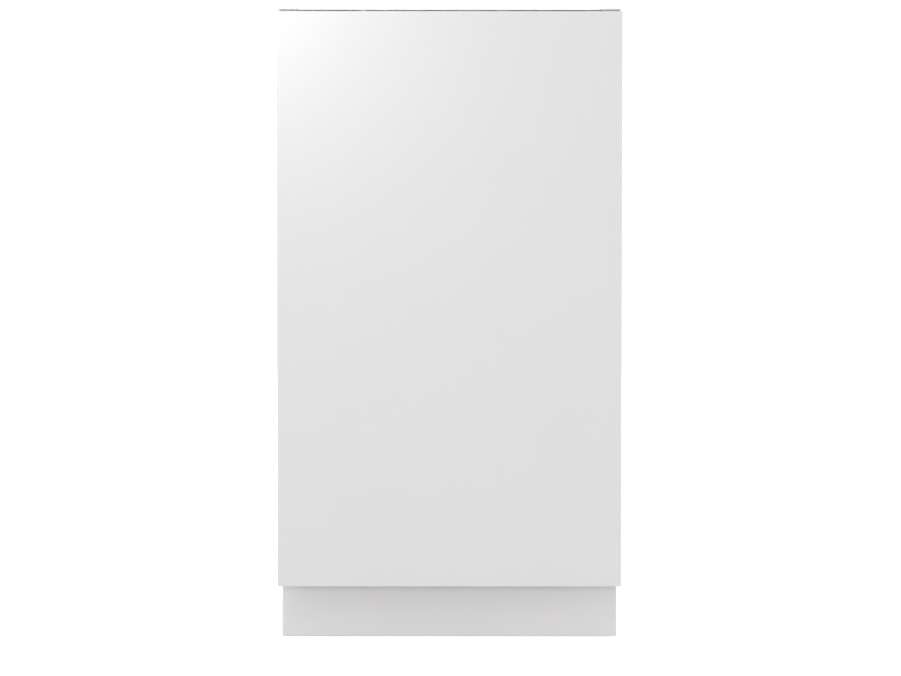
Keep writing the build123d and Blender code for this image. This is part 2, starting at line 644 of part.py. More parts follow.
def impeller(x0, y, z, radius, width, shaft_end, shaft_r):
    """Back disc, curved-in blades as flat vanes, hub and shaft."""
    disc = across(y, z, x0 + width - 3, x0 + width, radius)
    hub = across(y, z, x0, x0 + width, radius * 0.3)
    vane = block(x0, x0 + width - 1, y - 1.2, y + 1.2, z, z + radius * 0.96)
    vanes = [vane.rotate(Axis((x0, y, z), (1, 0, 0)), turn * 60) for turn in range(6)]
    shaft = across(y, z, x0 + width - 1, shaft_end, shaft_r)
    return fused([disc, hub, *vanes, shaft])


def drain_pump():
    x1 = DRAIN_X + 30
    body = across(DRAIN_Y, DRAIN_Z, DRAIN_X, x1, DRAIN_R) + across(DRAIN_Y, DRAIN_Z, x1 - 1, DRAIN_X + 72, 21)
    body += block(OUTLET_X - 10, OUTLET_X + 10, DRAIN_Y + 10, DRAIN_Y + 30, DRAIN_Z - 10, DRAIN_Z + 10)
    body -= across(DRAIN_Y, DRAIN_Z, DRAIN_X + 3, x1 - 3, 19)
    body -= across(DRAIN_Y, DRAIN_Z, DRAIN_X - 1, DRAIN_X + 4, 7)
    return body - across(DRAIN_Y, DRAIN_Z, x1 - 4, DRAIN_X + 66, 3 + RUNNING)


def water_softener():
    """Resin vessel, and beside it the round salt vessel with a filler neck up through the basin."""
    resin = rounded(block(-208, -88, -48, 62, 28, 104), 14, Axis.Z)
    salt = upright(SALT_X, SALT_Y, 34, 104, SALT_R + 12) + upright(SALT_X, SALT_Y, 100, 126, SALT_R)
    salt += rod((SALT_X, SALT_Y, 50), (SALT_X, -48, 50), 9)
    salt -= upright(SALT_X, SALT_Y, 44, 127, SALT_R - 5)
    return [resin, salt]


def salt_cap():
    cap = upright(SALT_X, SALT_Y, 126.4, 134, SALT_R + 1)
    plug = upright(SALT_X, SALT_Y, 112, 127, SALT_R - 5.1)
    grip = block(SALT_X - 20, SALT_X + 20, SALT_Y - 3, SALT_Y + 3, 133, 141)
    return fused([cap, plug, grip])


def water_tank():
    """Flat air-break tank on the left side of the tub."""
    tank = rounded(block(-222, -209.5, -40, 220, 165, 620), 20, Axis.X)
    for z in (250, 340, 430, 520):
        tank -= block(-223, -220, 0, 180, z, z + 8)
    return tank


def inlet_valve():
    """Solenoid valve on the tray's rear wall: threaded inlet outside, hose up to the tank inside."""
    body = block(INLET_X - 20, INLET_X + 20, 226, TRAY_REAR - TRAY_T, INLET_Z - 16, INLET_Z + 16)
    thread = rod((INLET_X, TRAY_REAR - 5, INLET_Z), (INLET_X, REAR, INLET_Z), INLET_R)
    collar = rod((INLET_X, TRAY_REAR, INLET_Z), (INLET_X, TRAY_REAR + 3, INLET_Z), 18)
    coil = upright(INLET_X, 240, INLET_Z + 10, INLET_Z + 34, 11)
    start = [(INLET_X, 228, INLET_Z), (INLET_X, 185, INLET_Z)]
    hose = wire([*start, (-200, 172, 96), (-216, 172, 138), (-216, 172, 165)], 4.5, 7)
    valve = fused([body, thread, collar, coil, hose])
    return valve - rod((INLET_X, 240, INLET_Z), (INLET_X, REAR + 1, INLET_Z), 9)


def drain_outlet():
    """Spigot for the drain hose, through the tray's rear wall."""
    start = DRAIN_Y + 30
    pipe = rod((OUTLET_X, start, OUTLET_Z), (OUTLET_X, REAR, OUTLET_Z), OUTLET_R)
    flange = rod((OUTLET_X, TRAY_REAR, OUTLET_Z), (OUTLET_X, TRAY_REAR + 2.5, OUTLET_Z), 16)
    return fused([pipe, flange]) - rod((OUTLET_X, start - 1, OUTLET_Z), (OUTLET_X, REAR + 1, OUTLET_Z), 7.5)


def terminal_box():
    """Mains terminal housing with a gland for the cable."""
    box = block(GLAND_X - 22, GLAND_X + 22, 222, TRAY_REAR - TRAY_T, GLAND_Z - 22, GLAND_Z + 16)
    gland = rod((GLAND_X, TRAY_REAR - 4, GLAND_Z), (GLAND_X, TRAY_REAR + 16, GLAND_Z), 7.8)
    collar = rod((GLAND_X, TRAY_REAR, GLAND_Z), (GLAND_X, TRAY_REAR + 4, GLAND_Z), 11)
    solid = fused([box, gland, collar])
    return solid - rod((GLAND_X, TRAY_REAR - 20, GLAND_Z), (GLAND_X, TRAY_REAR + 17, GLAND_Z), GLAND_R)


def feed_pipe():
    """Flat duct up the tub's rear wall and along its ceiling, with the docking port of the upper arm."""
    stand = upright(0, FEED_Y, 100, 152, FEED_R)
    elbow = rounded(block(-18, 18, FEED_Y - FEED_R, TUB_REAR, 146, 164), 6, Axis.X)
    duct = block(-18, 18, 247, TUB_REAR, 150, TUB_TOP)
    ceiling = block(-14, 14, 30, 250, 788, TUB_TOP)
    port = rod((0, 236, DOCK_Z), (0, 249, DOCK_Z), 10)
    pipe = fused([elbow, duct, ceiling, port]) & tub_body(TUB_T, TUB_MOUTH)
    pipe += stand
    return pipe - rod((0, 235, DOCK_Z), (0, 255, DOCK_Z), 7)


def ceiling_sprayer():
    return fillet(upright(0, 40, 776, 788, 30).edges().group_by(Axis.Z)[0], 4)


def coarse_filter():
    """Perforated floor plate round the filter and the riser."""
    plate = rounded(block(-48, 122, -104, 62, BASIN_FLOOR, BASIN_FLOOR + 1.4), 24, Axis.Z)
    plate -= upright(FILTER_X, FILTER_Y, 115, 125, FILTER_R + 1.3)
    plate -= upright(0, ARM_Y, 115, 125, RISER_R + 1)
    for x in range(-36, 8, 11):
        for y in range(-90, -10, 11):
            plate -= upright(x, y, 115, 125, 2.5)
    return plate


def filter_cylinder():
    """Fine filter cup with a bar to turn and lift it by."""
    shell = upright(FILTER_X, FILTER_Y, 58, 125, FILTER_R)
    shell -= upright(FILTER_X, FILTER_Y, 60, 122, FILTER_R - 2)
    grip = block(FILTER_X - 26, FILTER_X + 26, FILTER_Y - 4, FILTER_Y + 4, 124, 138)
    return fused([shell, rounded(grip, 3.9, Axis.Z)])


def spray_arm(reach, z0, z1, root, tip):
    """Flat hollow-looking blade, wide at the hub and narrow at its two round ends."""
    edges = []
    for y, radius in ((-reach + tip, tip), (0, root), (reach - tip, tip)):
        edges += (Pos(0, y) * Circle(radius)).edges()
    blade = Pos(0, ARM_Y, z0) * extrude(make_hull(edges), z1 - z0)
    return fillet(blade.edges().group_by(Axis.Z)[-1], 3.5)


def lower_spray_arm():
    """Blade with a hub that turns on the riser; at rest it lies along the depth of the tub."""
    arm = spray_arm(LOWER_REACH, 146, 158, 26, 13) + upright(0, ARM_Y, 138, 150, 22)
    return arm - upright(0, ARM_Y, 137, RISER_TOP + 1, RISER_R + RUNNING)


def upper_spray_arm():
    arm = spray_arm(UPPER_REACH, 448, 459, 22, 11) + upright(0, ARM_Y, 455, 465, 18)
    return arm - upright(0, ARM_Y, 452, 466, ARM_PORT_R + RUNNING)


# Baskets


def loop(x, y0, y1, z, radius):
    """Closed rectangular rim with rounded corners, as four wires that meet mid-side."""
    middle = (y0 + y1) / 2
    left = wire([(0, y0, z), (-x, y0, z), (-x, middle, z)], radius, LOOP_BEND_R)
    parts = [left, mirror(left, about=Plane.YZ)]
    rear = wire([(-x, middle, z), (-x, y1, z), (0, y1, z)], radius, LOOP_BEND_R)
    return [*parts, rear, mirror(rear, about=Plane.YZ)]


def steps(start, end, count):
    return [start + (end - start) * n / (count - 1) for n in range(count)]


def wire_basket(half, front, set_back, floor, rim):
    """Open basket of bent wires: bows across, bows from front to rear, and two rims."""
    wires = loop(half, front, BASKET_REAR, rim, RIM_R)
    wires += loop(half, front, BASKET_REAR, floor + (rim - floor) * 0.62, WIRE_R)
    bottom_front = front + set_back
    for y in steps(bottom_front + 34, BASKET_REAR - 32, BOWS):
        wires.append(wire([(-half, y, rim), (-half, y, floor), (half, y, floor), (half, y, rim)], WIRE_R))
    top = floor + CROSSING
    for x in steps(-half + 32, half - 32, BOWS):
        points = [(x, front, rim), (x, front, top + SLOPE_H), (x, bottom_front, top), (x, BASKET_REAR, top)]
        if not set_back:
            points = [(x, front, rim), (x, front, top), (x, BASKET_REAR, top)]
        wires.append(wire([*points, (x, BASKET_REAR, rim)], WIRE_R))
    return wires


def flat_panels(basket, half, front, set_back, floor):
    """The basket parted where its wires turn, so that each side, the floor and each tine lies straight."""
    side, near, far = half - 4, front + 10, BASKET_REAR - 10
    outer_x, outer_front, outer_rear = half + 40, front - 20, BASKET_REAR + 20
    low, under, over, high = floor - 60, floor - 3, floor + 6, floor + 200
    knee = over + SLOPE_H if set_back else under
    start = front + set_back + 2 if set_back else near
    boxes = [
        (-outer_x, -side, outer_front, outer_rear, low, high),
        (side, outer_x, outer_front, outer_rear, low, high),
        (-side, side, outer_front, near, knee, high),
        (-side, side, far, outer_rear, under, high),
        (-side, side, start, far, under, over),
        (-side, side, start, far, over, high),
        (-side, side, outer_front, outer_rear, low, under),
    ]
    if set_back:
        boxes.append((-side, side, outer_front, start, under, knee))
    regions = [block(*(value + PART * sign for value, sign in zip(box, (1, -1) * 3))) for box in boxes]
    return [piece for piece in (basket & region for region in regions) if piece]


def upper_basket():
    """Basket with side rails, a feed pipe under its floor and clips for the cup shelf."""
    parts = wire_basket(UPPER_X, UPPER_FRONT, 0, UPPER_FLOOR, UPPER_RIM)
    for side in (-1, 1):
        x0, x1 = sorted((side * 186, side * 191))
        parts.append(block(x0, x1, -182, 215, RAIL_Z - 9, RAIL_Z + 9))
        for y in (-140, 150):
            x0, x1 = sorted((side * (UPPER_X - 3.5), side * 188))
            parts.append(block(x0, x1, y - 14, y + 14, RAIL_Z - 16, RAIL_Z + 16))
    parts.append(rod((0, ARM_Y - 14, DOCK_Z), (0, DOCK_END, DOCK_Z), 8))
    parts.append(upright(0, ARM_Y, 454, UPPER_FLOOR - 3.5, ARM_PORT_R))
    parts += [block(-14, 14, y - 4, y + 4, DOCK_Z, UPPER_FLOOR + 1) for y in (80, 190)]
    for x in SHORT_TINE_XS:
        for y in steps(-110, 170, 8):
            parts.append(rod((x, y, UPPER_FLOOR), (x + 8, y, UPPER_FLOOR + 52), WIRE_R))
        top = UPPER_FLOOR + CROSSING
        parts.append(wire([(x, -130, top), (x, 190, top)], WIRE_R))
    parts.append(block(-62, 62, UPPER_FRONT - 5, UPPER_FRONT + 6, UPPER_RIM - 9, UPPER_RIM + 6))
    left, *others = flat_panels(fused(parts), UPPER_X, UPPER_FRONT, 0, UPPER_FLOOR)
    for y in SHELF_CLIPS:
        left += block(-UPPER_X - 1, SHELF_X + 4, y - 4, y + 4, SHELF_Z - 4, SHELF_Z + 4)
        left -= rod((SHELF_X, y - 6, SHELF_Z), (SHELF_X, y + 6, SHELF_Z), CLIP_R)
    return [left, *others]


def cup_shelf():
    """Folding rack of wires on the left side of the upper basket."""
    x1 = SHELF_X + SHELF_W
    axle = wire([(SHELF_X, SHELF_Y0, SHELF_Z), (SHELF_X, SHELF_Y1, SHELF_Z)], WIRE_R)
    edge = wire([(x1, SHELF_Y0, SHELF_Z), (x1, SHELF_Y1, SHELF_Z)], WIRE_R)
    rows = steps(SHELF_Y0 + 12, SHELF_Y1 - 12, BOWS)
    return fused([axle, edge, *[rod((SHELF_X, y, SHELF_Z), (x1, y, SHELF_Z), WIRE_R) for y in rows]])


def lower_basket():
    """Basket with wheel carriers, a row of fixed tines and clips for the folding row."""
    parts = wire_basket(LOWER_X, LOWER_FRONT, LOWER_SET_BACK, LOWER_FLOOR, LOWER_RIM)
    for y in WHEEL_YS.values():
        for side in (-1, 1):
            x0, x1 = sorted((side * (LOWER_X - 3.5), side * CARRIER_X))
            parts.append(block(x0, x1, y - 15, y + 15, WHEEL_Z - 8, WHEEL_Z + 30))
            parts.append(across(y, WHEEL_Z, side * (CARRIER_X - 0.5), side * PIN_X, WHEEL_PIN_R))
            parts.append(across(y, WHEEL_Z, side * (PIN_X - 1.6), side * PIN_X, 6))
    row = steps(TINE_Y0, TINE_Y0 + TINE_PITCH * (TINES - 1), TINES)
    top = LOWER_FLOOR + CROSSING
    parts += [rod((FIXED_TINE_X, y, top), (FIXED_TINE_X, y, TINE_TOP), WIRE_R) for y in row]
    parts.append(wire([(FIXED_TINE_X, TINE_Y0 - 12, top), (FIXED_TINE_X, row[-1] + 12, top)], WIRE_R))
    parts.append(block(-62, 62, LOWER_FRONT - 5, LOWER_FRONT + 6, LOWER_RIM - 9, LOWER_RIM + 6))
    panels = flat_panels(fused(parts), LOWER_X, LOWER_FRONT, LOWER_SET_BACK, LOWER_FLOOR)
    for y in FOLD_CLIPS:
        clip = block(FOLD_X - 13, FOLD_X + 4, y - 4, y + 4, top + WIRE_R + PART, FOLD_Z + 4)
        panels.append(clip - rod((FOLD_X, y - 6, FOLD_Z), (FOLD_X, y + 6, FOLD_Z), CLIP_R))
    return panels


def folding_tines():
    """Row of plate tines on one axle wire; it folds down flat."""
    row = steps(TINE_Y0, TINE_Y0 + TINE_PITCH * (TINES - 1), TINES)
    axle = wire([(FOLD_X, row[0] - 10, FOLD_Z), (FOLD_X, row[-1] + 10, FOLD_Z)], WIRE_R)
    tines = [rod((FOLD_X, y, FOLD_Z), (FOLD_X, y, TINE_TOP), WIRE_R) for y in row]
    return fused([axle, *tines])


def wheels(y):
    """A pair of basket wheels on one axis, each bored for its pin."""
    inner, outer = WHEEL_X - WHEEL_W / 2, WHEEL_X + WHEEL_W / 2
    wheel = across(y, WHEEL_Z, inner, outer, WHEEL_R)
    wheel = fillet(wheel.edges(), 1.5)
    wheel -= tube((outer - 3, y, WHEEL_Z), (outer + 1, y, WHEEL_Z), WHEEL_R - 4, 8)
    wheel -= across(y, WHEEL_Z, inner - 1, outer + 1, WHEEL_PIN_R + RUNNING)
    return mirrored(wheel)


def cutlery_basket():
    """Basket of eight cells with a carrying handle."""
    outer = rounded(block(CUTLERY_X0, CUTLERY_X1, CUTLERY_Y0, CUTLERY_Y1, CUTLERY_Z0, CUTLERY_Z1), 8, Axis.Z)
    wide = (CUTLERY_X1 - CUTLERY_X0 - CUTLERY_WALL) / CUTLERY_COLUMNS
    deep = (CUTLERY_Y1 - CUTLERY_Y0 - CUTLERY_WALL) / CUTLERY_ROWS
    for column in range(CUTLERY_COLUMNS):
        for row in range(CUTLERY_ROWS):
            x0 = CUTLERY_X0 + CUTLERY_WALL + column * wide
            y0 = CUTLERY_Y0 + CUTLERY_WALL + row * deep
            x1, y1 = x0 + wide - CUTLERY_WALL, y0 + deep - CUTLERY_WALL
            outer -= rounded(block(x0, x1, y0, y1, CUTLERY_Z0 + 3, CUTLERY_Z1 + 1), 5, Axis.Z)
    x, y = (CUTLERY_X0 + CUTLERY_X1) / 2, (CUTLERY_Y0 + CUTLERY_Y1) / 2
    foot, top = CUTLERY_Z1 - 20, CUTLERY_Z1 + 72
    return outer + wire([(x, y - 60, foot), (x, y - 60, top), (x, y + 60, top), (x, y + 60, foot)], 5, 24)


def rail_channels():
    """Outer members of the telescopic rails, on the tub's side walls."""
    x0, x1 = 194.0, TUB_X - TUB_T
    half = RAIL_H / 2
    rail = block(x0, x1, RAIL_FRONT, RAIL_REAR, RAIL_Z - half, RAIL_Z + half)
    rail -= block(x0 - 1, x1 - 2, RAIL_FRONT - 1, RAIL_REAR + 1, RAIL_Z - half + 2, RAIL_Z + half - 2)
    return mirrored(rail)


def rail_runners():
    """Middle members of the telescopic rails: they travel half as far as the basket."""
    runner = block(191.5, 202, RAIL_FRONT + 3, RAIL_REAR - 10, RAIL_Z - 9, RAIL_Z + 9)
    runner -= block(190, 193.5, RAIL_FRONT, RAIL_REAR, RAIL_Z - 6, RAIL_Z + 6)
    return mirrored(runner)


def main():
    os.makedirs("parts", exist_ok=True)
    single = [
        front_panel, plinth, door_outer_sheet, door_liner, door_insulation, control_fascia, display_window,
        control_board, door_latch, dispenser_housing, dispenser_lid, rinse_aid_cap, door_lower_seal, tub,
        tub_seal, tub_insulation, back_panel, top_crossbar, base_tray, latch_striker, sump, circulation_pump,
        drain_pump, salt_cap, water_tank, inlet_valve, drain_outlet, terminal_box, feed_pipe, ceiling_sprayer,
        coarse_filter, filter_cylinder, lower_spray_arm, upper_spray_arm, cup_shelf, folding_tines,
        cutlery_basket,
    ]
    groups = [
        panel_sliders, panel_rails, hinge_arms, side_panels, worktop_lugs, hinge_brackets, door_springs,
        cabinet_screws, water_softener, rail_channels, rail_runners, upper_basket, lower_basket,
    ]
    for make in single:
        save(make.__name__, make())
    for make in groups:
        save(make.__name__, *make())
    save("power_button", button(POWER_X, POWER_W))
    save("program_button", button(PROGRAM_X, PROGRAM_W))
    save("start_button", button(START_X, START_W))
    save("pump_impeller", impeller(134, PUMP_Y, PUMP_Z, 28, 16, PUMP_X2 - 12, 4))
    save("drain_impeller", impeller(DRAIN_X + 6, DRAIN_Y, DRAIN_Z, 15, 16, DRAIN_X + 62, 3))
    for node, (x, y) in FEET.items():
        save(node, foot(x, y))
    for node, y in WHEEL_YS.items():
        save(node, *wheels(y))


main()
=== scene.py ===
import json
import math

import bpy
from mathutils import Matrix, Vector

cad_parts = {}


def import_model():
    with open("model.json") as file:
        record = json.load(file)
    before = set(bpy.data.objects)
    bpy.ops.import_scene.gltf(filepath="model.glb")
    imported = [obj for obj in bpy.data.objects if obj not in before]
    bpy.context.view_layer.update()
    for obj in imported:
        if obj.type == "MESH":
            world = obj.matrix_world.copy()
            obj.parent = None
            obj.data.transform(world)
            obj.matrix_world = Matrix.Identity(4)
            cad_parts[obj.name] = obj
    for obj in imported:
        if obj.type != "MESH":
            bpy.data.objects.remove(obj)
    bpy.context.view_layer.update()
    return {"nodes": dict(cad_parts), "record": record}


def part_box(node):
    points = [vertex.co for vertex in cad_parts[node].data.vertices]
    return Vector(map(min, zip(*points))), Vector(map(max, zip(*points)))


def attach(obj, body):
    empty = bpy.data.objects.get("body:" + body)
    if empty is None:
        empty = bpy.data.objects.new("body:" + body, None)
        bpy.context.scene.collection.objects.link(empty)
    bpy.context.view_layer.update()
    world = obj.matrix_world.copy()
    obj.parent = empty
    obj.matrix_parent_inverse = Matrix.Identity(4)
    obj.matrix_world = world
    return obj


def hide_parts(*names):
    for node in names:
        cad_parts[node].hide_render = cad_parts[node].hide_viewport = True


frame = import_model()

# Colours as linear red, green and blue
LACQUER_WHITE = (0.80, 0.786, 0.792)
# White foil board, a little lighter than the door's lacquer: partly its own white, partly painted light for
# the shade under the door
PLINTH_WHITE_WITH_PAINTED_LIGHT = (0.84, 0.825, 0.825)
STAINLESS = (0.64, 0.64, 0.645)
GALVANISED = (0.35, 0.36, 0.37)
ZINC = (0.46, 0.47, 0.48)
LUG_STEEL = (0.57, 0.575, 0.58)
# Lighter than the lugs' steel: painted light on the crossbar's lip, which lies in shade behind the door's top
# edge
LIP_STEEL_PAINTED_LIGHT = (0.84, 0.845, 0.85)
FOIL = (0.5, 0.5, 0.51)
WIRE_GREY = (0.20, 0.21, 0.23)
PLASTIC_GREY = (0.30, 0.31, 0.33)
PLASTIC_DARK = (0.022, 0.023, 0.026)
PLASTIC_SILVER = (0.47, 0.48, 0.49)
PLASTIC_WHITE = (0.68, 0.68, 0.67)
PLASTIC_BLUE = (0.015, 0.06, 0.24)
RUBBER_BLACK = (0.012, 0.012, 0.013)
RUBBER_GREY = (0.085, 0.087, 0.09)
FELT_BROWN = (0.16, 0.145, 0.125)
BOARD_GREEN = (0.01, 0.09, 0.03)
SMOKED = (0.006, 0.006, 0.007)
MARK_WHITE = (0.75, 0.76, 0.78)
DISPLAY_GLOW = (0.62, 0.8, 0.95)
FLOOR_PALE = (0.88, 0.88, 0.88)

# Camera: a long lens, a little above the top edge of the door
CAMERA_DISTANCE = 8.0
CAMERA_HEIGHT = 0.871
CAMERA_SIDE = 0.001
CAMERA_TILT = 3.4037
CAMERA_ROLL = -0.035
CAMERA_LENS = 247.25
CAMERA_SENSOR = 36.0
CAMERA_REACH = 100

# Brightness of the white surroundings on the object, and of the floor's own white for the camera
ROOM_LIGHT = 0.41
FLOOR_WHITE = 0.7
FLOOR_SIZE = 120

UP, BACKWARD = Vector((0, 0, 1)), Vector((0, 1, 0))
RIGHT, LEFT, FORWARD, DOWN = Vector((1, 0, 0)), Vector((-1, 0, 0)), Vector((0, -1, 0)), Vector((0, 0, -1))

# Places on the object, in metres
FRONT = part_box("front_panel")[0].y
CONTROL_Y = -0.246
LINER_FACE = -0.215
LINER_BULGE = -0.206
TUB_WALL = 0.2048
TUB_BACK = 0.2608
BASIN = 0.1202
ARM_Y = 0.025
LOWER_ARM_TOP, UPPER_ARM_TOP = 0.158, 0.459
FILTER_LID = 0.125
CUTLERY_RIM = 0.306
UPPER_RIM, LOWER_RIM = 0.595, 0.328
TINE_Y0, TINE_PITCH, TINE_TOP = -0.112, 0.032, 0.252
FIXED_TINE_X, FOLD_X = 0.128, 0.048
SHORT_TINE_XS = (0.096, 0.146)
BACK_FACE = 0.281
FIELD_BOTTOMS, FIELD_HIGH = (0.25, 0.45, 0.65), 0.06
FIELD_FACE, FIELD_LONG, FIELD_MIDDLE = 0.2235, 0.38, 0.04
TRAY_X, TRAY_REAR = 0.216, 0.261
INLET = Vector((-0.15, TRAY_REAR, 0.08))
DRAIN = Vector((0.105, TRAY_REAR, 0.06))
GLAND = Vector((0.172, TRAY_REAR, 0.092))
FEET = ("foot_front_left", "foot_front_right", "foot_rear")
WHEELS = ("front_wheels", "rear_wheels")

# A new detail starts this far inside what it sits on
ROOT = 0.001
# Thickness of a printed mark, and of a segment of the display
PRINT, SEGMENT = Vector((0, 0, 0.00015)), Vector((0, 0, 0.0002))

# Pressed ridges: radius of the corners, width of the slope, height
CROSSBAR_BEAD = (0.0055, 0.003, 0.0009)
LINER_BEAD = (0.0049, 0.002, 0.0014)
DISPENSER_RIB = (0.0014, 0.0006, 0.0012)
LID_RIB = (0.0007, 0.0003, 0.0007)
TUB_RIB = (0.0078, 0.004, 0.0022)
BASIN_BEAD = (0.0058, 0.003, 0.0014)
ARM_SPINE = (0.0045, 0.002, 0.001)
WIDE_BACK_RIDGE, NARROW_BACK_RIDGE = (0.0115, 0.006, 0.0022), (0.0095, 0.006, 0.0018)
FIELD_BEAD = (0.0034, 0.0022, 0.00045)
STITCH = (0.001, 0.0004, 0.0007)

# Lamps: name, place, the point they face, size, power in watts, and whether metal mirrors them
LAMPS = (
    ("front_lamp", (0.2, -5.5, 0.3), (0, 0, 0.2), 2.0, 118, False),
    ("key_lamp", (-1.6, -3.6, 2.6), (0, 0, 0.3), 2.2, 24, True),
    ("right_lamp", (4.2, 0.4, 1.6), (0, 0, 0.4), 2.4, 50, True),
    ("left_lamp", (-4.2, 0.8, 1.9), (0, 0, 0.4), 2.4, 42, True),
    ("back_lamp", (0.6, 4.2, 2.4), (0, 0, 0.4), 2.4, 66, True),
    ("corner_lamp", (-0.3, FRONT - 0.26, 0.9), (-0.2, FRONT, 0.72), 0.12, 0.34, False),
)


# Modelling helpers


def mm(*values):
    """Millimetres as metres."""
    return Vector(values) * 0.001


def middle_of(node):
    """Middle of a node's box."""
    low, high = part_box(node)
    return (low + high) / 2


def top_of(node):
    """Middle of the top of a node's box."""
    middle = middle_of(node)
    middle.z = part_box(node)[1].z
    return middle


def fresh():
    """Nothing is selected, so the next operator acts on the new piece alone."""
    if bpy.context.object and bpy.context.object.mode != "OBJECT":
        bpy.ops.object.mode_set(mode="OBJECT")
    bpy.ops.object.select_all(action="DESELECT")


def settle(name):
    """Names the new piece and puts its place, turn and scale into its mesh."""
    piece = bpy.context.object
    piece.name = name
    bpy.ops.object.transform_apply(location=True, rotation=True, scale=True)
    return piece


def block(name, low, high):
    """A cuboid between two corners."""
    fresh()
    middle = [(a + b) / 2 for a, b in zip(low, high)]
    bpy.ops.mesh.primitive_cube_add(size=1, location=middle)
    bpy.context.object.scale = [b - a for a, b in zip(low, high)]
    return settle(name)


def rod(name, start, end, radius, sides=32, tip=None):
    """A round bar, or a cone if the radius at its end is given."""
    fresh()
    start, end = Vector(start), Vector(end)
    along = end - start
    bpy.ops.mesh.primitive_cone_add(
        vertices=sides,
        radius1=radius,
        radius2=radius if tip is None else tip,
        depth=along.length,
        location=(start + end) / 2,
        rotation=along.to_track_quat("Z", "Y").to_euler(),
    )
    return settle(name)


def ring(name, centre, axis, radius, thick, sides=48):
    """A torus round an axis."""
    fresh()
    bpy.ops.mesh.primitive_torus_add(
        location=centre,
        rotation=Vector(axis).to_track_quat("Z", "Y").to_euler(),
        major_radius=radius,
        minor_radius=thick,
        major_segments=sides,
        minor_segments=12,
    )
    return settle(name)


def collar(name, centre, way, radius, rise, rim):
    """Round collar with a raised rim and a sunk middle."""
    centre, way = Vector(centre), Vector(way).normalized()
    piece = rod(name, centre, centre + way * rise, radius, 40, tip=radius - rise * 0.2)
    piece = inset(piece, facing(way), rim, -rise * 0.7)
    return soften(piece, rise * 0.15, 2)


def activate(piece):
    """Selects one piece alone."""
    fresh()
    piece.select_set(True)
    bpy.context.view_layer.objects.active = piece


def modify(piece, kind, **settings):
    """Adds a modifier and applies it."""
    activate(piece)
    modifier = piece.modifiers.new(kind.title(), kind)
    for key, value in settings.items():
        setattr(modifier, key, value)
    bpy.ops.object.modifier_apply(modifier=modifier.name)
    return piece


def soften(piece, width, segments=3, angle=30):
    """Rounds the sharp edges and merges the points that fall together where two roundings meet."""
    limit = math.radians(angle)
    modify(piece, "BEVEL", width=width, segments=segments, limit_method="ANGLE", angle_limit=limit)
    modify(piece, "WELD", merge_threshold=0.000002)
    return smooth(piece)


def slab(name, low, high, width, segments=2):
    """A cuboid with rounded edges."""
    return soften(block(name, low, high), width, segments)


def smooth(piece, angle=35):
    """Smooth shading, with the edges over the angle kept sharp."""
    activate(piece)
    bpy.ops.object.shade_smooth_by_angle(angle=math.radians(angle))
    return piece


def carve(piece, *cutters):
    """Cuts the cutters out of the piece and removes them."""
    for cutter in cutters:
        modify(piece, "BOOLEAN", object=cutter, operation="DIFFERENCE", solver="EXACT")
        bpy.data.objects.remove(cutter)
    return piece


def joined(name, pieces):
    """One piece from several."""
    fresh()
    for piece in pieces:
        piece.select_set(True)
    bpy.context.view_layer.objects.active = pieces[0]
    if len(pieces) > 1:
        bpy.ops.object.join()
    piece = bpy.context.object
    piece.name = name
    return piece


def copied(piece, offset):
    """A copy with its own mesh, moved by an offset."""
    twin = piece.copy()
    twin.data = piece.data.copy()
    twin.data.transform(Matrix.Translation(Vector(offset)))
    bpy.context.scene.collection.objects.link(twin)
    return twin


def with_mirror(piece):
    """The piece and its mirror image on the object's other side, as one piece."""
    twin = copied(piece, (0, 0, 0))
    twin.data.transform(Matrix.Scale(-1, 4, Vector((1, 0, 0))))
    twin.data.flip_normals()
    return joined(piece.name, [piece, twin])


def choose(piece, test):
    """Opens the piece for editing with only the faces that pass the test selected."""
    activate(piece)
    bpy.ops.object.mode_set(mode="EDIT")
    bpy.ops.mesh.select_mode(type="FACE")
    bpy.ops.mesh.select_all(action="DESELECT")
    bpy.ops.object.mode_set(mode="OBJECT")
    for face in piece.data.polygons:
        face.select = test(face.center, face.normal)
    bpy.ops.object.mode_set(mode="EDIT")


def facing(way):
    """Test for faces that look one way."""
    way = Vector(way)
    return lambda centre, normal: normal.dot(way) > 0.9


def inset(piece, test, width, depth):
    """Insets faces and moves them out, or in where the depth is negative."""
    choose(piece, test)
    bpy.ops.mesh.inset(thickness=width, depth=depth)
    bpy.ops.object.mode_set(mode="OBJECT")
    return piece


def squeeze(piece, test, scale, centre):
    """Scales faces about a point."""
    choose(piece, test)
    bpy.ops.transform.resize(value=scale, center_override=centre)
    bpy.ops.object.mode_set(mode="OBJECT")
    return piece


def push(piece, test, move):
    """Extrudes faces by a vector."""
    choose(piece, test)
    bpy.ops.mesh.extrude_region_move(TRANSFORM_OT_translate={"value": move})
    bpy.ops.object.mode_set(mode="OBJECT")
    return piece


def round_along(piece, axis, radius):
    """Rounds the edges that run along one axis."""
    activate(piece)
    bpy.ops.object.mode_set(mode="EDIT")
    bpy.ops.mesh.select_mode(type="EDGE")
    bpy.ops.mesh.select_all(action="DESELECT")
    bpy.ops.object.mode_set(mode="OBJECT")
    for edge in piece.data.edges:
        start, end = (piece.data.vertices[index].co for index in edge.vertices)
        edge.select = abs((end - start).normalized()[axis]) > 0.99
    bpy.ops.object.mode_set(mode="EDIT")
    bpy.ops.mesh.bevel(offset=radius, segments=6, affect="EDGES")
    bpy.ops.object.mode_set(mode="OBJECT")
    return piece


def ridge(name, low, high, way, corner, slope, rise):
    """Pressed ridge: a thin block with round corners, whose outer face is drawn in and out."""
    axis = max(range(3), key=lambda n: abs(way[n]))
    piece = round_along(block(name, low, high), axis, corner)
    inset(piece, facing(way), slope, rise)
    return soften(piece, rise * 0.4, 2)


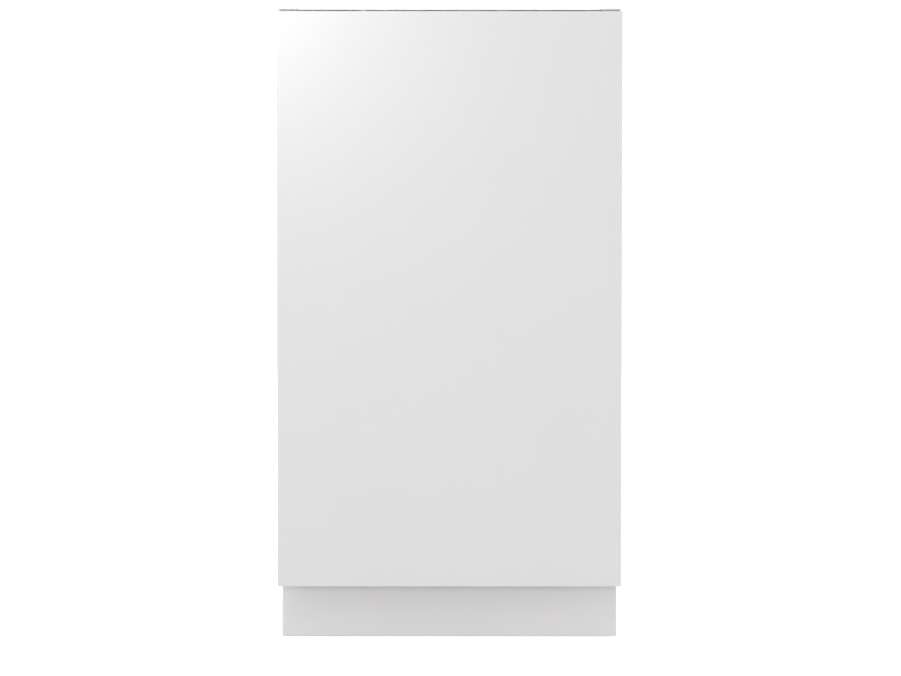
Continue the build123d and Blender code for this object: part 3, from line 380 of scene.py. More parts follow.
def bead(name, centre, wide, high, corner, radius):
    """Round bead along an upright rectangle with round corners."""
    fresh()
    bpy.ops.mesh.primitive_plane_add(size=1, location=centre, rotation=(math.radians(90), 0, 0))
    bpy.context.object.scale = (wide, high, 1)
    settle(name)
    bpy.ops.object.mode_set(mode="EDIT")
    bpy.ops.mesh.select_all(action="SELECT")
    bpy.ops.mesh.bevel(offset=corner, segments=8, affect="VERTICES")
    bpy.ops.mesh.delete(type="ONLY_FACE")
    bpy.ops.object.mode_set(mode="OBJECT")
    bpy.ops.object.convert(target="CURVE")
    bpy.context.object.data.bevel_depth = radius
    bpy.ops.object.convert(target="MESH")
    return smooth(bpy.context.object, 60)


def about(centre, axis, angle):
    """Turn about an axis through a point, as a matrix."""
    there = Matrix.Translation(Vector(centre))
    return there @ Matrix.Rotation(angle, 4, Vector(axis)) @ there.inverted()


def turned(piece, centre, axis, angle):
    """A copy turned about an axis through a point."""
    twin = copied(piece, (0, 0, 0))
    twin.data.transform(about(centre, axis, angle))
    return twin


def spread(piece, centre, axis, count):
    """The piece with its copies, evenly round an axis."""
    return [piece, *(turned(piece, centre, axis, math.tau * n / count) for n in range(1, count))]


def rounded_route(points, corner, steps=8):
    """The points with each inner corner replaced by an arc."""
    route = [points[0]]
    for before, at, after in zip(points, points[1:], points[2:]):
        back, on = (before - at).normalized(), (after - at).normalized()
        half = back.angle(on) / 2
        reach = corner / math.tan(half)
        centre = at + (back + on).normalized() * (corner / math.sin(half))
        start = at + back * reach - centre
        axis = start.cross(at + on * reach - centre).normalized()
        sweep = math.pi - 2 * half
        for n in range(steps + 1):
            route.append(centre + Matrix.Rotation(sweep * n / steps, 3, axis) @ start)
    route.append(points[-1])
    return route


def bar_along(name, points, radius, resolution, angle):
    """Round bar along points."""
    line = bpy.data.curves.new(name, "CURVE")
    line.dimensions = "3D"
    spline = line.splines.new("POLY")
    spline.points.add(len(points) - 1)
    for knot, at in zip(spline.points, points):
        knot.co = (*at, 1)
    line.bevel_depth = radius
    line.bevel_resolution = resolution
    line.use_fill_caps = True
    bar = bpy.data.objects.new(name, line)
    bpy.context.scene.collection.objects.link(bar)
    activate(bar)
    bpy.ops.object.convert(target="MESH")
    return smooth(settle(name), angle)


def screws(name, places, way, radius, rise):
    """Pan-head screws with a cross recess: one is modelled, the others are copies."""
    head = rod(name, (0, 0, 0), (0, 0, rise), radius, 28, tip=radius * 0.86)
    head = soften(head, rise * 0.35, 3)
    for long, short in ((0.55, 0.13), (0.13, 0.55)):
        half = Vector((radius * long, radius * short, 0))
        cross = block("cross", (-half.x, -half.y, rise * 0.45), (half.x, half.y, rise * 1.5))
        carve(head, cross)
    turn = UP.rotation_difference(Vector(way)).to_matrix().to_4x4()
    heads = []
    for at in places:
        twin = copied(head, (0, 0, 0))
        twin.data.transform(Matrix.Translation(Vector(at)) @ turn)
        heads.append(twin)
    bpy.data.objects.remove(head)
    return joined(name, heads)


def dress(piece, finish, body):
    """Gives a new piece its finish and the body it rides on."""
    piece.data.materials.clear()
    piece.data.materials.append(finish)
    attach(piece, body)
    return piece


def fit(name, pieces, slot, body, finish_name=None):
    """One piece from several, dressed in its slot's finish unless another is named."""
    return dress(joined(name, pieces), FINISHES[finish_name or slot], body)


# Shader groups that several finishes share


def group(name, inputs, outputs):
    """An empty shader group with named sockets."""
    tree = bpy.data.node_groups.new(name, "ShaderNodeTree")
    for label, value in inputs:
        socket = tree.interface.new_socket(name=label, in_out="INPUT", socket_type="NodeSocketFloat")
        socket.default_value = value
    for label in outputs:
        tree.interface.new_socket(name=label, in_out="OUTPUT", socket_type="NodeSocketFloat")
    return tree, tree.nodes.new("NodeGroupInput"), tree.nodes.new("NodeGroupOutput")


def noise(tree, vector, scale, detail=3.0, rough=0.5):
    """Noise texture, whose scale is a number or another node's output."""
    node = tree.nodes.new("ShaderNodeTexNoise")
    node.inputs["Detail"].default_value = detail
    node.inputs["Roughness"].default_value = rough
    tree.links.new(vector, node.inputs["Vector"])
    if isinstance(scale, float):
        node.inputs["Scale"].default_value = scale
    else:
        tree.links.new(scale, node.inputs["Scale"])
    return node


def arithmetic(tree, operation, first, second):
    """Result of a sum, product or the like, of numbers or other nodes' outputs."""
    node = tree.nodes.new("ShaderNodeMath")
    node.operation = operation
    for socket, value in zip(node.inputs, (first, second)):
        if isinstance(value, (int, float)):
            socket.default_value = value
        else:
            tree.links.new(value, socket)
    return node.outputs[0]


def place(tree):
    """Object coordinates."""
    return tree.nodes.new("ShaderNodeTexCoord").outputs["Object"]


def stretched(tree, scale):
    """Object coordinates scaled along each axis."""
    node = tree.nodes.new("ShaderNodeMapping")
    node.inputs["Scale"].default_value = scale
    tree.links.new(place(tree), node.inputs["Vector"])
    return node.outputs["Vector"]


def relief_group():
    """Fine moulded or sprayed texture: two sizes of noise."""
    tree, enter, leave = group("fine_relief", [("Scale", 800.0)], ["Height"])
    where = place(tree)
    finer_by, fine_share = 3.1, 0.4
    coarse = noise(tree, where, enter.outputs["Scale"], 2.0)
    finer = arithmetic(tree, "MULTIPLY", enter.outputs["Scale"], finer_by)
    fine = noise(tree, where, finer, 1.0)
    share = arithmetic(tree, "MULTIPLY", fine.outputs["Fac"], fine_share)
    total = arithmetic(tree, "ADD", coarse.outputs["Fac"], share)
    tree.links.new(total, leave.inputs["Height"])
    return tree


def drift_group():
    """Slow change over the surface, from -0.5 to 0.5: handling marks and uneven gloss."""
    tree, enter, leave = group("slow_drift", [("Scale", 6.0)], ["Drift"])
    where = place(tree)
    broad = noise(tree, where, enter.outputs["Scale"], 4.0, 0.6)
    tree.links.new(arithmetic(tree, "SUBTRACT", broad.outputs["Fac"], 0.5), leave.inputs["Drift"])
    return tree


def brushing_group(name, scale):
    """Long fine lines from -0.5 to 0.5, stretched along the axis with the small scale."""
    tree, _, leave = group(name, [], ["Lines"])
    lines = noise(tree, stretched(tree, scale), 1.0, 3.0, 0.65)
    tree.links.new(arithmetic(tree, "SUBTRACT", lines.outputs["Fac"], 0.5), leave.inputs["Lines"])
    return tree


def spangle_group():
    """Crystal pattern of hot-dip galvanised sheet: each crystal has its own shade."""
    tree, enter, leave = group("zinc_crystals", [("Scale", 200.0)], ["Shade"])
    cells = tree.nodes.new("ShaderNodeTexVoronoi")
    warp = noise(tree, place(tree), 110.0, 2.0)
    bent = tree.nodes.new("ShaderNodeVectorMath")
    bent.operation = "MULTIPLY_ADD"
    bent.inputs[1].default_value = (0.006, 0.006, 0.006)
    tree.links.new(warp.outputs["Color"], bent.inputs[0])
    tree.links.new(place(tree), bent.inputs[2])
    tree.links.new(bent.outputs[0], cells.inputs["Vector"])
    tree.links.new(enter.outputs["Scale"], cells.inputs["Scale"])
    split = tree.nodes.new("ShaderNodeSeparateColor")
    tree.links.new(cells.outputs["Color"], split.inputs["Color"])
    tree.links.new(arithmetic(tree, "SUBTRACT", split.outputs["Red"], 0.5), leave.inputs["Shade"])
    return tree


RELIEF = relief_group()
DRIFT = drift_group()
BRUSH_UP = brushing_group("brushed_upright", (900.0, 900.0, 6.0))
BRUSH_ACROSS = brushing_group("brushed_across", (6.0, 900.0, 900.0))
SPANGLE = spangle_group()


def use(tree, source, output, **inputs):
    """Output of a shared group."""
    node = tree.nodes.new("ShaderNodeGroup")
    node.node_tree = source
    for label, value in inputs.items():
        node.inputs[label].default_value = value
    return node.outputs[output]


def shaded(tree, colour, mask, amount):
    """The colour, made lighter and darker by a mask."""
    node = tree.nodes.new("ShaderNodeMix")
    node.data_type = "RGBA"
    node.blend_type = "MIX"
    node.inputs["A"].default_value = (*[c * (1 - amount) for c in colour], 1)
    node.inputs["B"].default_value = (*[min(1.0, c * (1 + amount)) for c in colour], 1)
    tree.links.new(arithmetic(tree, "ADD", mask, 0.5), node.inputs["Factor"])
    return node.outputs["Result"]


def finish(
    name, colour, rough, metal=0.0, lines=None, tint=0.03, gloss_swing=0.08, relief=(800.0, 0.02), coat=0.0
):
    """A finish whose colour and gloss drift slowly, with a fine bump.

    Lines are a pattern's group, its output and its share. Relief is the bump's scale and its depth in mm.
    """
    made = bpy.data.materials.new(name)
    made.use_nodes = True
    tree = made.node_tree
    surface = tree.nodes["Principled BSDF"]
    surface.inputs["Metallic"].default_value = metal
    surface.inputs["Coat Weight"].default_value = coat
    surface.inputs["Coat Roughness"].default_value = 0.12
    drift = use(tree, DRIFT, "Drift")
    mask = drift
    if lines:
        source, output, share = lines
        pattern = arithmetic(tree, "MULTIPLY", use(tree, source, output), share)
        mask = arithmetic(tree, "ADD", drift, pattern)
    tree.links.new(shaded(tree, colour, mask, tint), surface.inputs["Base Color"])
    swing = arithmetic(tree, "MULTIPLY", mask, gloss_swing * 2)
    tree.links.new(arithmetic(tree, "ADD", swing, rough), surface.inputs["Roughness"])
    bump = tree.nodes.new("ShaderNodeBump")
    scale, depth = relief
    bump.inputs["Distance"].default_value = depth / 1000
    height = use(tree, RELIEF, "Height", Scale=scale)
    if lines:
        height = arithmetic(tree, "ADD", height, arithmetic(tree, "MULTIPLY", mask, 1.5))
    tree.links.new(height, bump.inputs["Height"])
    tree.links.new(bump.outputs["Normal"], surface.inputs["Normal"])
    return made


def felt_finish():
    """Needled felt: tangled fibres in two directions, with lighter flecks."""
    made = finish("felt", FELT_BROWN, 0.95, tint=0.18, gloss_swing=0.0, relief=(1400.0, 0.6))
    tree = made.node_tree
    surface = tree.nodes["Principled BSDF"]
    surface.inputs["Sheen Weight"].default_value = 0.3
    fibres = noise(tree, stretched(tree, (1500.0, 260.0, 1500.0)), 1.0, 4.0, 0.7)
    flecks = shaded(tree, FELT_BROWN, arithmetic(tree, "SUBTRACT", fibres.outputs["Fac"], 0.5), 0.9)
    tree.links.new(flecks, surface.inputs["Base Color"])
    return made


def display_finish():
    """Pale segments that glow a little, uneven from edge to edge."""
    made = finish("display_light", MARK_WHITE, 0.4, tint=0.1, relief=(1500.0, 0.005))
    surface = made.node_tree.nodes["Principled BSDF"]
    glow = shaded(made.node_tree, DISPLAY_GLOW, use(made.node_tree, DRIFT, "Drift", Scale=300.0), 0.3)
    made.node_tree.links.new(glow, surface.inputs["Emission Color"])
    surface.inputs["Emission Strength"].default_value = 0.5
    return made


FINISHES = {
    "white_lacquer": finish(
        "white_lacquer", LACQUER_WHITE, 0.42, tint=0.012, gloss_swing=0.03, relief=(420.0, 0.006)
    ),
    # Partly the foil's own white, partly painted light for the shade under the door
    "white_plinth": finish(
        "white_foil", PLINTH_WHITE_WITH_PAINTED_LIGHT, 0.5, tint=0.015, gloss_swing=0.04, relief=(900.0, 0.01)
    ),
    "galvanised": finish(
        "galvanised_sheet", GALVANISED, 0.44, 0.9, (SPANGLE, "Shade", 0.9), 0.11, 0.08, (500.0, 0.004)
    ),
    "stainless": finish(
        "brushed_stainless", STAINLESS, 0.3, 0.9, (BRUSH_UP, "Lines", 1.2), 0.06, 0.1, (300.0, 0.003)
    ),
    "stainless_wire": finish("bright_steel", STAINLESS, 0.2, 1.0, (BRUSH_ACROSS, "Lines", 0.6), 0.04, 0.06),
    "grey_coated_wire": finish(
        "coated_wire", WIRE_GREY, 0.32, tint=0.08, gloss_swing=0.08, relief=(260.0, 0.05)
    ),
    "grey_plastic": finish("grey_plastic", PLASTIC_GREY, 0.5, tint=0.05, relief=(1500.0, 0.03)),
    "dark_plastic": finish("dark_plastic", PLASTIC_DARK, 0.48, tint=0.12, relief=(1500.0, 0.03)),
    "silver_plastic": finish("silver_plastic", PLASTIC_SILVER, 0.34, 0.25, tint=0.03, relief=(1800.0, 0.01)),
    "white_plastic": finish("white_plastic", PLASTIC_WHITE, 0.45, tint=0.03, relief=(900.0, 0.02)),
    "smoked_window": finish(
        "smoked_window", SMOKED, 0.08, tint=0.1, gloss_swing=0.02, relief=(300.0, 0.001), coat=0.6
    ),
    "black_rubber": finish("black_rubber", RUBBER_BLACK, 0.7, tint=0.15, relief=(1200.0, 0.03)),
    "grey_rubber": finish("grey_rubber", RUBBER_GREY, 0.62, tint=0.1, relief=(1100.0, 0.03)),
    "felt": felt_finish(),
    "green_board": finish("circuit_board", BOARD_GREEN, 0.35, tint=0.15, relief=(700.0, 0.02), coat=0.3),
    "spring_steel": finish("spring_steel", ZINC, 0.3, 1.0, (BRUSH_ACROSS, "Lines", 0.8), 0.08),
    "blue_plastic": finish("blue_plastic", PLASTIC_BLUE, 0.35, tint=0.06, relief=(1200.0, 0.01)),
    "zinc": finish("zinc_plate", ZINC, 0.38, 0.95, (SPANGLE, "Shade", 0.25), 0.08, 0.1, (400.0, 0.01)),
    "lug_steel": finish(
        "lug_steel", LUG_STEEL, 0.55, 0.6, (SPANGLE, "Shade", 0.25), 0.08, 0.08, (500.0, 0.01)
    ),
    # The lugs' steel made lighter, as painted light on the lip in the shade behind the door's top edge
    "lip_painted_light": finish(
        "lip_painted_light", LIP_STEEL_PAINTED_LIGHT, 0.55, 0.6, (SPANGLE, "Shade", 0.25), 0.06, 0.08, (500.0, 0.01)
    ),
    "foil_tape": finish("foil_tape", FOIL, 0.4, 1.0, (SPANGLE, "Shade", 0.4), 0.05, 0.12, (160.0, 0.2)),
    "print": finish("pale_print", MARK_WHITE, 0.5, tint=0.06, relief=(1500.0, 0.01)),
    "display_light": display_finish(),
}


def dress_cad():
    """Every CAD piece gets the finish of its slot, and the tabs and sliding rails a duller steel."""
    dull = ("worktop_lugs", "rail_runners", "rail_channels")
    for part in frame["record"]["subparts"]:
        node = frame["nodes"][part["node"]]
        chosen = FINISHES["lug_steel" if part["node"] in dull else part["material_slot"]]
        if not node.material_slots:
            node.data.materials.append(chosen)
        for index in range(len(node.material_slots)):
            node.material_slots[index].material = chosen


# Details of the door's top edge and of the crossbar behind it


def crossbar_details():
    """Upturned lip, two pressed beads and the screws of the strip under the worktop."""
    low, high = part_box("top_crossbar")
    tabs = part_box("worktop_lugs")[1]
    end, top = tabs.x - 0.0232, tabs.z - 0.00065
    lip = slab("crossbar_lip", (-end, low.y, low.z + 0.002), (end, low.y + 0.0014, top), 0.0005)
    beads = [
        ridge("crossbar_beads", (-0.19, y, high.z - ROOT), (0.19, y + 0.012, high.z), UP, *CROSSBAR_BEAD)
        for y in (-0.196, -0.180)
    ]
    places = [(x, -0.159, high.z) for x in (-0.2, -0.07, 0.07, 0.2)]
    heads = screws("crossbar_screws", places, UP, 0.0035, 0.0012)
    # The lip's lighter steel is painted light, for the shade it lies in behind the door's top edge
    fit("crossbar_lip", [lip], "galvanised", "cabinet", "lip_painted_light")
    fit("crossbar_beads", beads, "galvanised", "cabinet")
    fit("crossbar_screws", [heads], "zinc", "cabinet")


def power_mark():
    """Open ring with a bar, the usual sign for on and off."""
    middle = top_of("power_button")
    circle = ring("power_mark", middle, UP, 0.0024, 0.00028)
    carve(circle, block("gap", middle + mm(-0.9, 0.4, -1), middle + mm(0.9, 4, 1)))
    bar = slab("bar", middle + mm(-0.28, 0.6, -0.1), middle + mm(0.28, 3.4, 0.2), 0.0001, 1)
    fit("power_mark", [circle, bar], "white_plastic", "power_button", "print")


def start_mark():
    """Triangle that points right, with two bars after it: start and pause."""
    middle = top_of("start_button")
    at = middle - mm(1.2, 0, 0)
    arrow = rod("start_mark", at, at + PRINT, 0.0026, 3)
    arrow.data.transform(about(at, UP, math.radians(90)))
    marks = [soften(arrow, 0.0001, 1)]
    for x in (1.9, 3.4):
        marks.append(slab("bar", middle + mm(x, -2.2, 0), middle + mm(x + 0.7, 2.2, 0) + PRINT, 0.0001, 1))
    fit("start_mark", marks, "white_plastic", "start_button", "print")


def program_mark():
    """Three dots in a row, for stepping through the programmes."""
    dots = []
    for y in (-3.2, 0, 3.2):
        at = top_of("program_button") + mm(0, y, 0)
        dots.append(soften(rod("dot", at, at + PRINT, 0.0009, 20), 0.0001, 1))
    fit("program_mark", dots, "white_plastic", "program_button", "print")


def digit(at, lit):
    """Seven-segment digit that lies on the pane, with the segments that are lit."""
    tall, wide, line = 0.0064, 0.0036, 0.0005
    level, upright = (wide - line, line), (line, tall / 2 - line)
    layout = {
        "top": (0, tall / 2, level), "middle": (0, 0, level), "bottom": (0, -tall / 2, level),
        "upper_left": (-wide / 2, tall / 4, upright), "upper_right": (wide / 2, tall / 4, upright),
        "lower_left": (-wide / 2, -tall / 4, upright), "lower_right": (wide / 2, -tall / 4, upright),
    }
    segments = []
    for label, (x, y, (width, height)) in layout.items():
        if label in lit:
            centre = at + Vector((x, y, 0))
            half = Vector((width / 2, height / 2, 0))
            segments.append(slab("segment", centre - half, centre + half + SEGMENT, 0.0001, 1))
    return segments


def display_digits():
    """A plain time, one hour and thirty minutes, and the colon between."""
    middle = top_of("display_window")
    one = ("upper_right", "lower_right")
    three = ("top", "middle", "bottom", "upper_right", "lower_right")
    nought = ("top", "bottom", "upper_left", "upper_right", "lower_left", "lower_right")
    pieces = []
    for x, lit in ((-7.0, one), (1.2, three), (7.6, nought)):
        pieces += digit(middle + mm(x, 0, 0), lit)
    for y in (-1.3, 1.3):
        at = middle + mm(-2.9, y, 0)
        pieces.append(soften(rod("colon", at, at + SEGMENT, 0.0005, 12), 0.0001, 1))
    fit("display_digits", pieces, "smoked_window", "door", "display_light")


def status_lights():
    """Lenses of three small lamps between the programme button and the display."""
    lenses = []
    for x in (-0.052, -0.038, -0.024):
        at = Vector((x, CONTROL_Y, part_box("control_fascia")[1].z - 0.0002))
        lens = rod("status_lights", at, at + mm(0, 0, 0.55), 0.0013, 24, tip=0.0010)
        lenses.append(soften(lens, 0.0002, 2))
    fit("status_lights", lenses, "white_plastic", "door")


# Details of the door's inner side


def liner_details():
    """Pressed frames in the liner over and under the dispenser, and the door's screws."""
    face = LINER_BULGE
    frames = [
        bead("liner_beads", (0, face, (low + high) / 2), 0.3, high - low, 0.018, 0.0022)
        for low, high in ((0.19, 0.392), (0.618, 0.745))
    ]
    frames += [
        ridge("liner_beads", (-0.11, face - ROOT, z), (0.11, face, z + 0.01), BACKWARD, *LINER_BEAD)
        for z in (0.25, 0.29, 0.33)
    ]
    fit("liner_beads", frames, "stainless", "door")
    places = [(side * 0.2185, LINER_FACE, z) for side in (-1, 1) for z in (0.185, 0.33, 0.475, 0.62, 0.765)]
    heads = screws("liner_screws", places, BACKWARD, 0.0024, 0.0012)
    fit("liner_screws", [heads], "stainless", "door", "spring_steel")
    edges = [
        screws("edge_screws", [(side.x * 0.222, -0.24, 0.79)], side, 0.0034, 0.0013) for side in (RIGHT, LEFT)
    ]
    fit("edge_screws", edges, "zinc", "door")


def dispenser_details():
    """Guide ribs, the cup's seal, the sight glass of the rinse aid, and grips on the lid and the cap."""
    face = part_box("dispenser_housing")[1].y - 0.004
    spans = [(x, 0.486, x + 0.003, 0.512) for x in (0.03, 0.037, 0.044, 0.051, 0.058, 0.065)]
    spans += [(0.026, z, 0.07, z + 0.003) for z in (0.44, 0.455, 0.47)]
    ribs = [
        ridge("dispenser_ribs", (x0, face - ROOT, z0), (x1, face, z1), BACKWARD, *DISPENSER_RIB)
        for x0, z0, x1, z1 in spans
    ]
    fit("dispenser_ribs", ribs, "grey_plastic", "door")
    seal = bead("cup_seal", (-0.032, LINER_BULGE, 0.466), 0.0766, 0.0566, 0.0105, 0.0012)
    fit("cup_seal", [seal], "grey_rubber", "door", "black_rubber")
    at = Vector((0.064, face, 0.582))
    rim = collar("sight_glass", at, BACKWARD, 0.0066, 0.0013, 0.0012)
    lens = soften(rod("sight_lens", at - mm(0, 0.5, 0), at + mm(0, 0.8, 0), 0.0053, 32), 0.0004)
    fit("sight_glass", [rim], "grey_plastic", "door")
    fit("sight_lens", [lens], "smoked_window", "door")
    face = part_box("dispenser_lid")[1].y - 0.0028
    grips = [
        ridge("lid_ribs", (x, face - 0.0007, 0.444), (x + 0.0016, face, 0.486), BACKWARD, *LID_RIB)
        for x in (-0.058, -0.052, -0.012, -0.006)
    ]
    fit("lid_ribs", grips, "silver_plastic", "dispenser_lid")
    centre = middle_of("rinse_aid_cap")
    centre.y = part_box("rinse_aid_cap")[1].y - 0.0036
    rib = slab("cap_ribs", centre + mm(19.2, -3.6, -0.7), centre + mm(20.6, -0.3, 0.7), 0.0004)
    fit("cap_ribs", spread(rib, centre, BACKWARD, 28), "blue_plastic", "rinse_aid_cap")


# Details inside the tub


def tub_ribs():
    """Pressed stiffening ribs in the tub's sides, back and floor."""
    sides = [
        ridge("tub_ribs", (TUB_WALL, -0.165, z), (TUB_WALL + ROOT, 0.225, z + 0.016), LEFT, *TUB_RIB)
        for z in (0.235, 0.305, 0.375, 0.445, 0.655, 0.72)
    ]
    walls = with_mirror(joined("tub_ribs", sides))
    backs = [
        ridge("tub_ribs", (x, TUB_BACK, 0.2), (x + 0.016, TUB_BACK + ROOT, 0.73), FORWARD, *TUB_RIB)
        for x in (0.045, 0.085, 0.125, 0.165)
    ]
    rear = with_mirror(joined("back_ribs", backs))
    beads = [
        ridge("basin_beads", (x, 0.09, BASIN - ROOT), (x + 0.012, 0.205, BASIN), UP, *BASIN_BEAD)
        for x in (-0.15, -0.075, 0.085)
    ]
    fit("tub_ribs", [walls, rear, *beads], "stainless", "cabinet")


def side_inlet():
    """Round water inlet in the tub's left wall: a nut with lugs and a slotted grille."""
    at = Vector((-TUB_WALL, 0.06, 0.418))
    flange = soften(rod("side_inlet", at, at + mm(3, 0, 0), 0.026, 48), 0.001)
    crown = rod("crown", at + mm(2, 0, 0), at + mm(7, 0, 0), 0.021, 48, tip=0.0188)
    crown = soften(inset(crown, facing(RIGHT), 0.0026, -0.0016), 0.0007, 2)
    lugs = spread(slab("lug", at + mm(2, -3, 19), at + mm(6, 3, 24.5), 0.001), at, RIGHT, 6)
    bars, pitch, opening = [], 0.0047, 0.0165
    for step in range(-3, 4):
        half = Vector((0.001, math.sqrt(opening**2 - (step * pitch) ** 2), 0.0008))
        centre = at + Vector((0.0058, 0, step * pitch))
        bars.append(slab("bar", centre - half, centre + half, 0.0004))
    fit("side_inlet", [flange, crown, *lugs, *bars], "grey_plastic", "cabinet")


def float_cap():
    """Cap over the float switch in the basin."""
    foot = Vector((0.15, 0.2, BASIN))
    cap = rod("float_cap", foot, foot + mm(0, 0, 24), 0.0155, 40, tip=0.0135)
    cap = soften(inset(cap, facing(UP), 0.003, 0.003), 0.0016)
    skirt = soften(rod("skirt", foot, foot + mm(0, 0, 3), 0.019, 40), 0.001, 2)
    slots = spread(slab("slot", foot + mm(-1, -16.2, 5), foot + mm(1, -13, 18), 0.0005), foot, UP, 8)
    fit("float_cap", [cap, skirt, *slots], "grey_plastic", "cabinet")


def jet(at, spin):
    """Spray jet: a raised round rim, and a thin dark slab on the arm as painted shade for its slot, turned
    about the arm's height.
    """
    rim = ring("jet", at, UP, 0.0036, 0.0008, 24)
    slot_shade = block("slot_shade", at + mm(-0.7, -2.8, -0.2), at + mm(0.7, 2.8, 0.2))
    slot_shade.data.transform(about(at, UP, spin))
    return rim, soften(slot_shade, 0.0001, 1)


def arm_details(node, top, reach, ways, hub_way, hub_radius):
    """Spine, hub and jets of a spray arm, on the sides that it sprays from."""
    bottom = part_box(node)[0].z
    along = UP * hub_way
    level = top if hub_way > 0 else bottom
    behind = level - hub_way * ROOT
    low, high = sorted((level, behind))
    end = reach - 0.03
    spine = ridge("spine", (-0.005, ARM_Y - end, low), (0.005, ARM_Y + end, high), along, *ARM_SPINE)
    tip = (0, ARM_Y, level + hub_way * 0.004)
    hub = rod("hub", (0, ARM_Y, behind), tip, hub_radius, 48, tip=hub_radius * 0.86)
    hub = soften(inset(hub, facing(along), hub_radius * 0.25, -0.0012), 0.0008, 2)
    plastic, dark = [spine, hub], []
    for way in ways:
        height = (top if way > 0 else bottom) + way * 0.0002
        for count, out in enumerate((0.05, 0.078, 0.104, 0.128, 0.15)):
            for side in (-1, 1):
                at = Vector((0.0055 * (-1) ** count * side, ARM_Y + side * out, height))
                rim, slot_shade = jet(at, math.radians(35) * side)
                plastic.append(rim)
                dark.append(slot_shade)
    fit(node + "_rims", plastic, "grey_plastic", node)
    # The thin dark slabs are painted shade, standing in for the shade inside the jets' slots
    fit(node + "_jets", dark, "dark_plastic", node)


def ceiling_jets():
    """Boss and jets of the fixed sprayer under the tub's ceiling."""
    middle = middle_of("ceiling_sprayer")
    bottom = Vector((middle.x, middle.y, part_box("ceiling_sprayer")[0].z))
    jets = spread(ring("ceiling_jets", bottom + mm(20, 0, 0), UP, 0.0022, 0.0006, 16), middle, UP, 10)
    boss = soften(rod("boss", bottom - mm(0, 0, 3), bottom + mm(0, 0, 1), 0.008, 32, tip=0.0105), 0.0008, 2)
    fit("ceiling_jets", [*jets, boss], "grey_plastic", "cabinet")


def filter_details():
    """Ribs and rings on the filter cup's lid, and notches round the salt cap."""
    middle = middle_of("filter_cylinder")
    middle.z = FILTER_LID
    rib = slab("filter_ribs", middle + mm(12, -0.8, -0.5), middle + mm(33, 0.8, 1.4), 0.0004)
    ribs = spread(rib, middle, UP, 18)
    rims = [ring("rim", middle, UP, radius, 0.0012) for radius in (0.0335, 0.024, 0.0125)]
    fit("filter_ribs", ribs + rims, "grey_plastic", "filter_cylinder")
    middle = middle_of("salt_cap")
    x, y = middle.x + 0.0268, middle.y
    tooth = slab("salt_cap_grips", (x - 0.001, y - 0.0013, 0.1275), (x + 0.0011, y + 0.0013, 0.1335), 0.0006)
    fit("salt_cap_grips", spread(tooth, middle, UP, 24), "dark_plastic", "salt_cap")


# Details of the baskets


def grid_wall(name, low, high, columns, rows, bar):
    """Lattice of flat bars between two corners, one of whose sides is thin."""
    spans = [b - a for a, b in zip(low, high)]
    middle = [(a + b) / 2 for a, b in zip(low, high)]
    thin = spans.index(min(spans))
    turn, across, up = (
        ((0, math.radians(90), 0), spans[2], spans[1]),
        ((math.radians(90), 0, 0), spans[0], spans[2]),
        ((0, 0, 0), spans[0], spans[1]),
    )[thin]
    if thin == 0:
        columns, rows = rows, columns
    fresh()
    bpy.ops.mesh.primitive_grid_add(
        x_subdivisions=columns, y_subdivisions=rows, size=1, location=middle, rotation=turn
    )
    bpy.context.object.scale = (across, up, 1)
    return modify(settle(name), "WIREFRAME", thickness=bar, use_even_offset=False, use_boundary=True)


def cutlery_lattice():
    """Moulded cutlery basket: lattice walls between rims, eight cells, a slotted floor and a bow handle."""
    (x0, y0, z0), (x1, y1, handle_top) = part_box("cutlery_basket")
    top, margin, gap, bar = CUTLERY_RIM, 0.001, 0.002, 0.0022
    low, high, base = z0 + 0.003, top - 0.006, z0 + 0.0015
    x_left, x_right, y_front, y_rear = x0 + margin, x1 - margin, y0 + margin, y1 - margin
    middle = Vector(((x0 + x1) / 2, (y0 + y1) / 2, 0))
    parts = [
        grid_wall("lattice", (x, y0 + gap, low), (x, y1 - gap, high), 24, 11, bar)
        for x in (x_left, middle.x, x_right)
    ]
    for n in range(5):
        y = y_front + (y1 - y0 - 2 * margin) * n / 4
        parts.append(grid_wall("lattice", (x0 + gap, y, low), (x1 - gap, y, high), 8, 11, bar))
    near, far = (x0 + gap, y0 + gap, base), (x1 - gap, y1 - gap, base)
    parts.append(grid_wall("floor_lattice", near, far, 14, 44, 0.0026))
    for z, tall in ((z0 + 0.002, 0.004), (top - 0.004, 0.008), (z0 + 0.062, 0.003)):
        spans = [(x - 0.0009, y0 + 0.003, x + 0.0009, y1 - 0.003) for x in (x_left, x_right)]
        spans += [(x0 + 0.003, y - 0.0009, x1 - 0.003, y + 0.0009) for y in (y_front, y_rear)]
        parts += [slab("rim", (a, b, z - tall / 2), (c, d, z + tall / 2), 0.0004) for a, b, c, d in spans]
    for x in (x_left + bar, x_right - bar):
        for y in (y_front + bar, y_rear - bar):
            parts.append(slab("corner", (x - 0.001, y - 0.001, z0), (x + 0.001, y + 0.001, top), 0.0005))
    bow = [(-0.06, top - 0.02), (-0.06, handle_top - 0.011), (0.06, handle_top - 0.011), (0.06, top - 0.02)]
    route = rounded_route([middle + Vector((0, y, z)) for y, z in bow], 0.024)
    parts.append(bar_along("handle", route, 0.0045, 4, 50))
    grip = middle + Vector((0, 0, handle_top))
    parts.append(slab("grip", grip + mm(-6, -34, -11.5), grip + mm(6, 34, 0), 0.0028, 4))
    basket = fit("cutlery_lattice", parts, "grey_plastic", "cutlery_basket")
    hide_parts("cutlery_basket")


